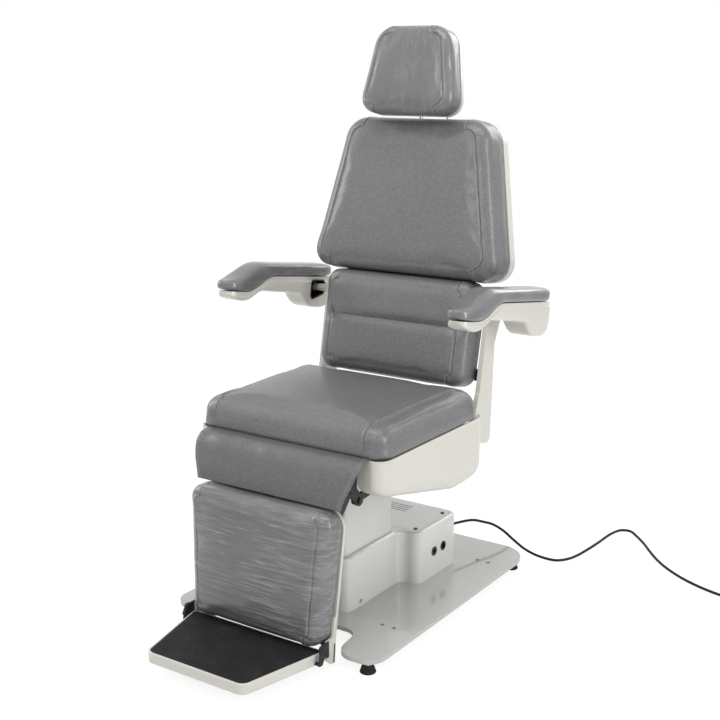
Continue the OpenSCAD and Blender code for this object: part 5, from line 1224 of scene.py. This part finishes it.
def make_arm_shell(name, side, node, body):
    """Armrest shell: sections between the pad's underside and a lobed lower edge, with a step
    below the pad, and a pocket for the bush cut into the inner side."""
    edge = smooth_path(np.array(SHELL_EDGE_SHARES) * (ARM_REACH, ARM_DEPTH), 8)[::-1]
    tip_y, rear_y = edge[0, 0], edge[-1, 0]
    y = rear_y - (rear_y - tip_y) * halfway(np.linspace(0, 1, 120))
    low = np.interp(y, np.maximum.accumulate(edge[:, 0]), edge[:, 1])
    top = pad_low((ARM_REAR - y) / ARM_LENGTH)
    w = TIP_HALF + WIDENING * halfway((y - tip_y) / WIDENING_RUN)
    for r, far in ((TIP_R, y - tip_y), (REAR_R, rear_y - y)):
        w = w - (r - np.sqrt(r ** 2.0 - np.clip(r - far, 0, r) ** 2))
    w = np.maximum(w, 1.0)
    deep = np.maximum(top - low, 0.4)
    k, r = np.clip(deep / 26, 0.02, 1), np.minimum(10, deep * 0.36)
    half = [(0 * w, top), (w * 0.5, top)] + [(w - a * k, top - b * k) for a, b in LEDGE]
    half += [(w - r * (1 - math.cos(a)), low + r * (1 - math.sin(a)))
             for a in np.radians(np.linspace(0, 90, 8))]
    half += [(w * 0.5 * (1 - r / 40), low), (0 * w, low)]
    x, h = (np.stack([p[i] for p in half], 1) for i in (0, 1))
    x, h = np.concatenate([x, -x[:, -2:0:-1]], 1), np.concatenate([h, h[:, -2:0:-1]], 1)
    g = np.stack([x, np.broadcast_to(y[:, None], x.shape), h], -1)
    place = in_arm(side)
    obj = piece(name, rings(place(g), sharp=30), cream_finish(), body, node)
    obj.data.materials.append(black_plastic_finish())
    rim, inward = outline(POCKET, 8)
    block = plate(0, 59.5, upright(-34.5 if side > 0 else -25.0, place), rim)
    for finish in (cream_finish(), black_plastic_finish()):
        block.materials.append(finish)
    block.polygons.foreach_set("material_index", np.ones(len(block.polygons), np.int32))
    cutter = bpy.data.objects.new("pocket", block)
    bpy.context.scene.collection.objects.link(cutter)
    cut = obj.modifiers.new("pocket", "BOOLEAN")
    cut.object, cut.operation, cut.solver = cutter, "DIFFERENCE", "EXACT"
    done = bpy.data.meshes.new_from_object(obj.evaluated_get(bpy.context.evaluated_depsgraph_get()))
    obj.modifiers.clear()
    obj.data = done
    done.set_sharp_from_angle(angle=math.radians(30))
    bpy.data.objects.remove(cutter)
    out, z = np.array(BEZEL).T[..., None]
    ring = rim[None] + out[..., None] * inward[None]
    level = np.broadcast_to(-side * (32.6 + z), ring.shape[:2])
    piece(name + "_bezel", rings(place(np.concatenate([level[..., None], ring], -1)), looped=True),
          black_plastic_finish(), body)


def make_arms():
    """Both armrests."""
    for word, side in (("left", 1), ("right", -1)):
        make_arm_pad("arm_pad_" + word, side, "armrest_pad_" + word, "armrest_" + word)
        make_arm_shell("arm_shell_" + word, side, "armrest_shell_" + word, "armrest_" + word)


# Legrest

LEG_PLATE = [[-183.5, -372, 8], [-155, -372, 8], [-155, -338, 8], [155, -338, 8], [155, -372, 8],
             [183.5, -372, 8], [201.5, -25.5, 44], [-201.5, -25.5, 44]]
LEG_PLATE_DEPTHS = (-80.7, -72.7)
TREAD_FRONT, TREAD_REAR, TREAD_HALF_FRONT, TREAD_HALF_REAR = -586, -367, 136, 188
TREAD = [[-TREAD_HALF_FRONT, TREAD_FRONT, 25], [TREAD_HALF_FRONT, TREAD_FRONT, 25],
         [TREAD_HALF_REAR, TREAD_REAR, 12], [-TREAD_HALF_REAR, TREAD_REAR, 12]]
BRACKET = [[-394, 58, 5], [-368, 38, 2], [-360, 38, 2], [-360, 75, 2], [-394, 75, 5]]
CHEEK = [[-366, 30, 3], [-350, 16, 4], [-336, 16, 3], [-328, 120, 3], [-337, 120, 3], [-343, 76, 5],
         [-366, 74, 3]]
BLADE = [[-402, 32, 2], [-388, 32, 2], [-376, 58, 5], [-377, 75, 5], [-393, 75, 5], [-396, 60, 5]]
FLANGE_X, EAR_X = (156.0, 191.6), (180, 194.8)
FOLD_Y, FOLD_Z, FOLD_R = -385, 66, 5.5


def make_legrest():
    """Legrest pad under wrinkled film, on its plate."""
    def flat(p):
        return in_leg(p[..., [0, 2, 1]])
    piece("leg_back_plate", plate(*LEG_PLATE_DEPTHS, flat, outline(LEG_PLATE)[0]), cream_finish(), "legrest",
          "legrest_plate", bevel=1.6)
    pad = Pad(-334, -27, 181, 200, -136, -81, 22, 36, 34, seam=4.5)
    cushion("leg_pad", pad, in_leg, wrapped_finish("Wrapped legrest", (0.35, 1, 5.5), 1.0), "legrest",
            "legrest_pad", 0.7, 51, folds=46)


def make_hinges():
    """Fold brackets on the legrest's tails and hinge plates under the footplate's ears."""
    bracket, cheek, blade = (outline(corners, 8)[0] for corners in (BRACKET, CHEEK, BLADE))
    for word, side in (("left", 1), ("right", -1)):
        for name, loop, x, t, body, node in (
                ("fold_bracket_", bracket, 188.6, 3.0, "legrest", "foot_brackets"),
                ("fold_cheek_", cheek, 184.0, 6.0, "legrest", ()),
                ("fold_hinge_", blade, 192.2, 3.0, "footplate", "footplate_hinges"),
                ("fold_pin_", circle(FOLD_Y, FOLD_Z, FOLD_R), 195.3, 1.2, "legrest", "fold_pins")):
            finish, slot = (cream_finish, "cream_metal") if loop is cheek else (coated_finish, "black_metal")
            piece(name + word, plate(0, t, upright(side * x - (t if side < 0 else 0)), loop), finish(), body,
                  node if side > 0 else (), bevel=0.5, steps=2)
        x0, x1 = sorted(side * x for x in FLANGE_X)
        flange = plate(0, 44, lambda p: in_leg(p + (0, -84.4, -370)), box_loop(x0, 0, x1, 3, 1))
        piece("fold_flange_" + word, flange, coated_finish(), "legrest", bevel=0.5, steps=2)
        x0, x1 = sorted(side * x for x in EAR_X)
        ear = plate(33, 37, on_floor, box_loop(x0, -400, x1, -389, 2))
        piece("fold_ear_" + word, ear, coated_finish(), "footplate", bevel=0.5, steps=2)


def tread_half(y):
    """Half width of the footplate at a place along it."""
    wider = TREAD_HALF_REAR - TREAD_HALF_FRONT
    return TREAD_HALF_FRONT + wider * (y - TREAD_FRONT) / (TREAD_REAR - TREAD_FRONT)


def make_tread():
    """Footplate with its ribbed underside, and the dotted rubber mat in its seat."""
    profile = np.concatenate([[(4, 48), (4, 30.5), (3.5, 30), (0.7, 30), (0, 30.7)], arc(3, 3, 51, 180, 90),
                              [(4.5, 54), (5, 53.5), (5, 52)]])
    piece("tread_tray", rings(on_floor(carried(TREAD, profile, 14))), cream_finish(), "footplate",
          "footplate")
    cells = []
    for k in range(4):
        ya = TREAD_FRONT + 53 * k + (7 if k == 0 else 3)
        yb = TREAD_FRONT + 53 * (k + 1) - (7 if k == 3 else 3)
        half = tread_half(ya) - (34 if k == 0 else 16)
        cells += [box_loop(x0, ya, x1, yb, 5) for x0, x1 in ((-half, -2), (2, half))]
    rim, inward = outline(TREAD)
    piece("tread_ribs", plate(31, 48.3, on_floor, rim + 4.1 * inward, *cells), cream_finish(), "footplate")
    rim, inward = outline(TREAD, 14)
    rubber = rubber_finish("Mat rubber", 0.5)
    piece("tread_mat", plate(52, 54, on_floor, rim + 5.5 * inward), rubber, "footplate",
          "footplate_mat", bevel=0.5, steps=2)
    pitch = bpy.context.scene.chair_sizes.dot_pitch / MM
    i, j = np.meshgrid(np.arange(-34, 35), np.arange(0, 62))
    x, y = (i + 0.5 * (j % 2)) * pitch, TREAD_FRONT + 10 + j * pitch * 0.866
    corner_x, corner_y = TREAD_HALF_FRONT - 22, TREAD_FRONT + 25
    fits = (y < TREAD_REAR - 10) & (np.abs(x) < tread_half(y) - 9.5)
    fits &= (y > corner_y) | (np.abs(x) < corner_x) | (np.hypot(np.abs(x) - corner_x, y - corner_y) < 16)
    at = np.stack([x[fits], y[fits]], -1)
    rounds = lathe([(1.75, 53.9), (1.55, 54.6), (0.9, 54.95)], 0, 0, 8)
    dot = np.concatenate([rounds.reshape(-1, 3), [[0, 0, 55.05]]])
    points = np.broadcast_to(dot, (len(at), *dot.shape)).copy()
    points[..., :2] += at[:, None]
    last = 16 + np.arange(8)
    cap = np.stack([last, np.roll(last, -1), np.full(8, 24)], -1)
    mesh = mesh_of(on_floor(points.reshape(-1, 3)), repeated(grid(3, 8, True), len(at), len(dot)),
                   repeated(cap, len(at), len(dot)), sharp=0)
    piece("mat_dots", mesh, rubber, "footplate")


# Stage

LAMPS = (("lamp_over", (0.3, -0.6, 3.3), (0, 0.1, 0.5), 2.2, 1.4, 33),
         ("lamp_right", (3.0, -0.3, 1.5), (0, 0.1, 0.7), 0.5, 2.2, 36),
         ("lamp_left", (-3.0, -0.5, 1.9), (0, 0.0, 0.7), 1.2, 2.2, 30),
         ("lamp_front", (0.2, -3.4, 3.0), (0, 0.0, 0.7), 2.0, 1.4, 26),
         ("lamp_rear", (0.6, 3.0, 2.2), (0, 0.2, 0.6), 1.8, 1.2, 22))
CAMERA_PLACE, CAMERA_DIP, CAMERA_TURN, LENS = (1.588391, -2.228508, 1.280970), 13.594, 33.997, 60.486


def make_stage():
    """Camera at the photograph's angle, soft studio lamps and a pale floor."""
    scene = bpy.context.scene
    scene.view_settings.view_transform = "Standard"
    data = bpy.data.cameras.new("camera")
    data.lens, data.sensor_width = LENS, 36.0
    camera = bpy.data.objects.new("camera", data)
    camera.location = CAMERA_PLACE
    camera.rotation_euler = (math.radians(90 - CAMERA_DIP), 0, math.radians(CAMERA_TURN))
    scene.collection.objects.link(camera)
    scene.camera = camera
    for name, place, aim, wide, high, watts in LAMPS:
        light = bpy.data.lights.new(name, "AREA")
        light.shape, light.size, light.size_y, light.energy = "RECTANGLE", wide, high, watts
        lamp = bpy.data.objects.new(name, light)
        lamp.location = place
        lamp.rotation_euler = (Vector(aim) - Vector(place)).to_track_quat("-Z", "Y").to_euler()
        scene.collection.objects.link(lamp)
    scene.world = bpy.data.worlds.new("studio")
    scene.world.use_nodes = True
    tree = scene.world.node_tree
    tree.nodes.clear()
    camera_ray, glossy, through = (add(tree, "LightPath", output=f"Is {kind} Ray")
                                   for kind in ("Camera", "Glossy", "Transmission"))
    seen = camera_ray.math("MAXIMUM", camera_ray.math("MAXIMUM", camera_ray, glossy), through)
    soft = add(tree, "Background", {"Color": (0.98, 0.99, 1, 1), "Strength": 0.62})
    white = add(tree, "Background", {"Color": (1, 1, 1, 1), "Strength": 1.0})
    sky = add(tree, "MixShader", {0: seen, 1: soft, 2: white})
    give(tree, tree.nodes.new("ShaderNodeOutputWorld"), {0: sky})
    span = np.linspace(-14, 14, 15)
    g = np.stack(np.meshgrid(span, span) + [np.zeros((15, 15))], -1)
    floor = bpy.data.objects.new("floor", mesh_of(*surface(g), sharp=0))
    scene.collection.objects.link(floor)
    f = Finish("Studio floor")
    floor.data.materials.append(f.done((0.9, 0.9, 0.9, 1), 0.8, **{"Specular IOR Level": 0.1}))
    glow = add(f.tree, "Emission", {"Color": (1, 1, 1, 1), "Strength": 1.2})
    share = add(f.tree, "LightPath", output="Is Camera Ray") * 0.72
    both = add(f.tree, "MixShader", {0: share, 1: Signal(f.tree, f.shader.outputs[0]), 2: glow})
    give(f.tree, f.tree.nodes["Material Output"], {0: both})


# Operators

def operator(name, label, work):
    """One operator that runs a piece's function; an error in it stops the script."""
    def execute(self, context):
        work()
        return {"FINISHED"}
    return type("CHAIR_OT_" + name, (bpy.types.Operator,), {
        "bl_idname": "chair." + name, "bl_label": label, "__doc__": work.__doc__, "execute": execute})


STEPS = [("stage", "Camera, lamps and floor", make_stage), ("cord", "Mains cord and plug", make_cord),
         ("plate", "Floor plate and feet", make_plate), ("cover", "Base cover and lid", make_cover),
         ("column", "Column sleeves", make_column), ("seat_cover", "Seat cover", make_seat_cover),
         ("seat", "Seat cushion", make_seat_cushion), ("apron", "Apron", make_apron),
         ("back", "Backrest", make_back), ("headrest", "Headrest", make_headrest),
         ("arms", "Armrests", make_arms), ("legrest", "Legrest", make_legrest),
         ("hinges", "Footplate hinges", make_hinges), ("tread", "Footplate and mat", make_tread),
         ("carried", "Finishes of the solid parts", make_carried)]
OPERATORS = [operator(*step) for step in STEPS]


class CHAIR_PT_build(bpy.types.Panel):
    """Sidebar panel that lists the chair's pieces"""
    bl_idname = "CHAIR_PT_build"
    bl_label = "Examination chair"
    bl_space_type = "VIEW_3D"
    bl_region_type = "UI"
    bl_category = "Chair"

    def draw(self, context):
        for name, label, _ in STEPS:
            self.layout.operator("chair." + name, text=label)


CLASSES = [ChairFinish, ChairSizes, *OPERATORS, CHAIR_PT_build]


def register():
    for cls in CLASSES:
        bpy.utils.register_class(cls)
    bpy.types.Scene.chair_finish = bpy.props.PointerProperty(type=ChairFinish)
    bpy.types.Scene.chair_sizes = bpy.props.PointerProperty(type=ChairSizes)


def unregister():
    del bpy.types.Scene.chair_sizes
    del bpy.types.Scene.chair_finish
    for cls in reversed(CLASSES):
        bpy.utils.unregister_class(cls)


def main():
    register()
    for name, _, _ in STEPS:
        getattr(bpy.ops.chair, name)()


if __name__ == "__main__":
    main()
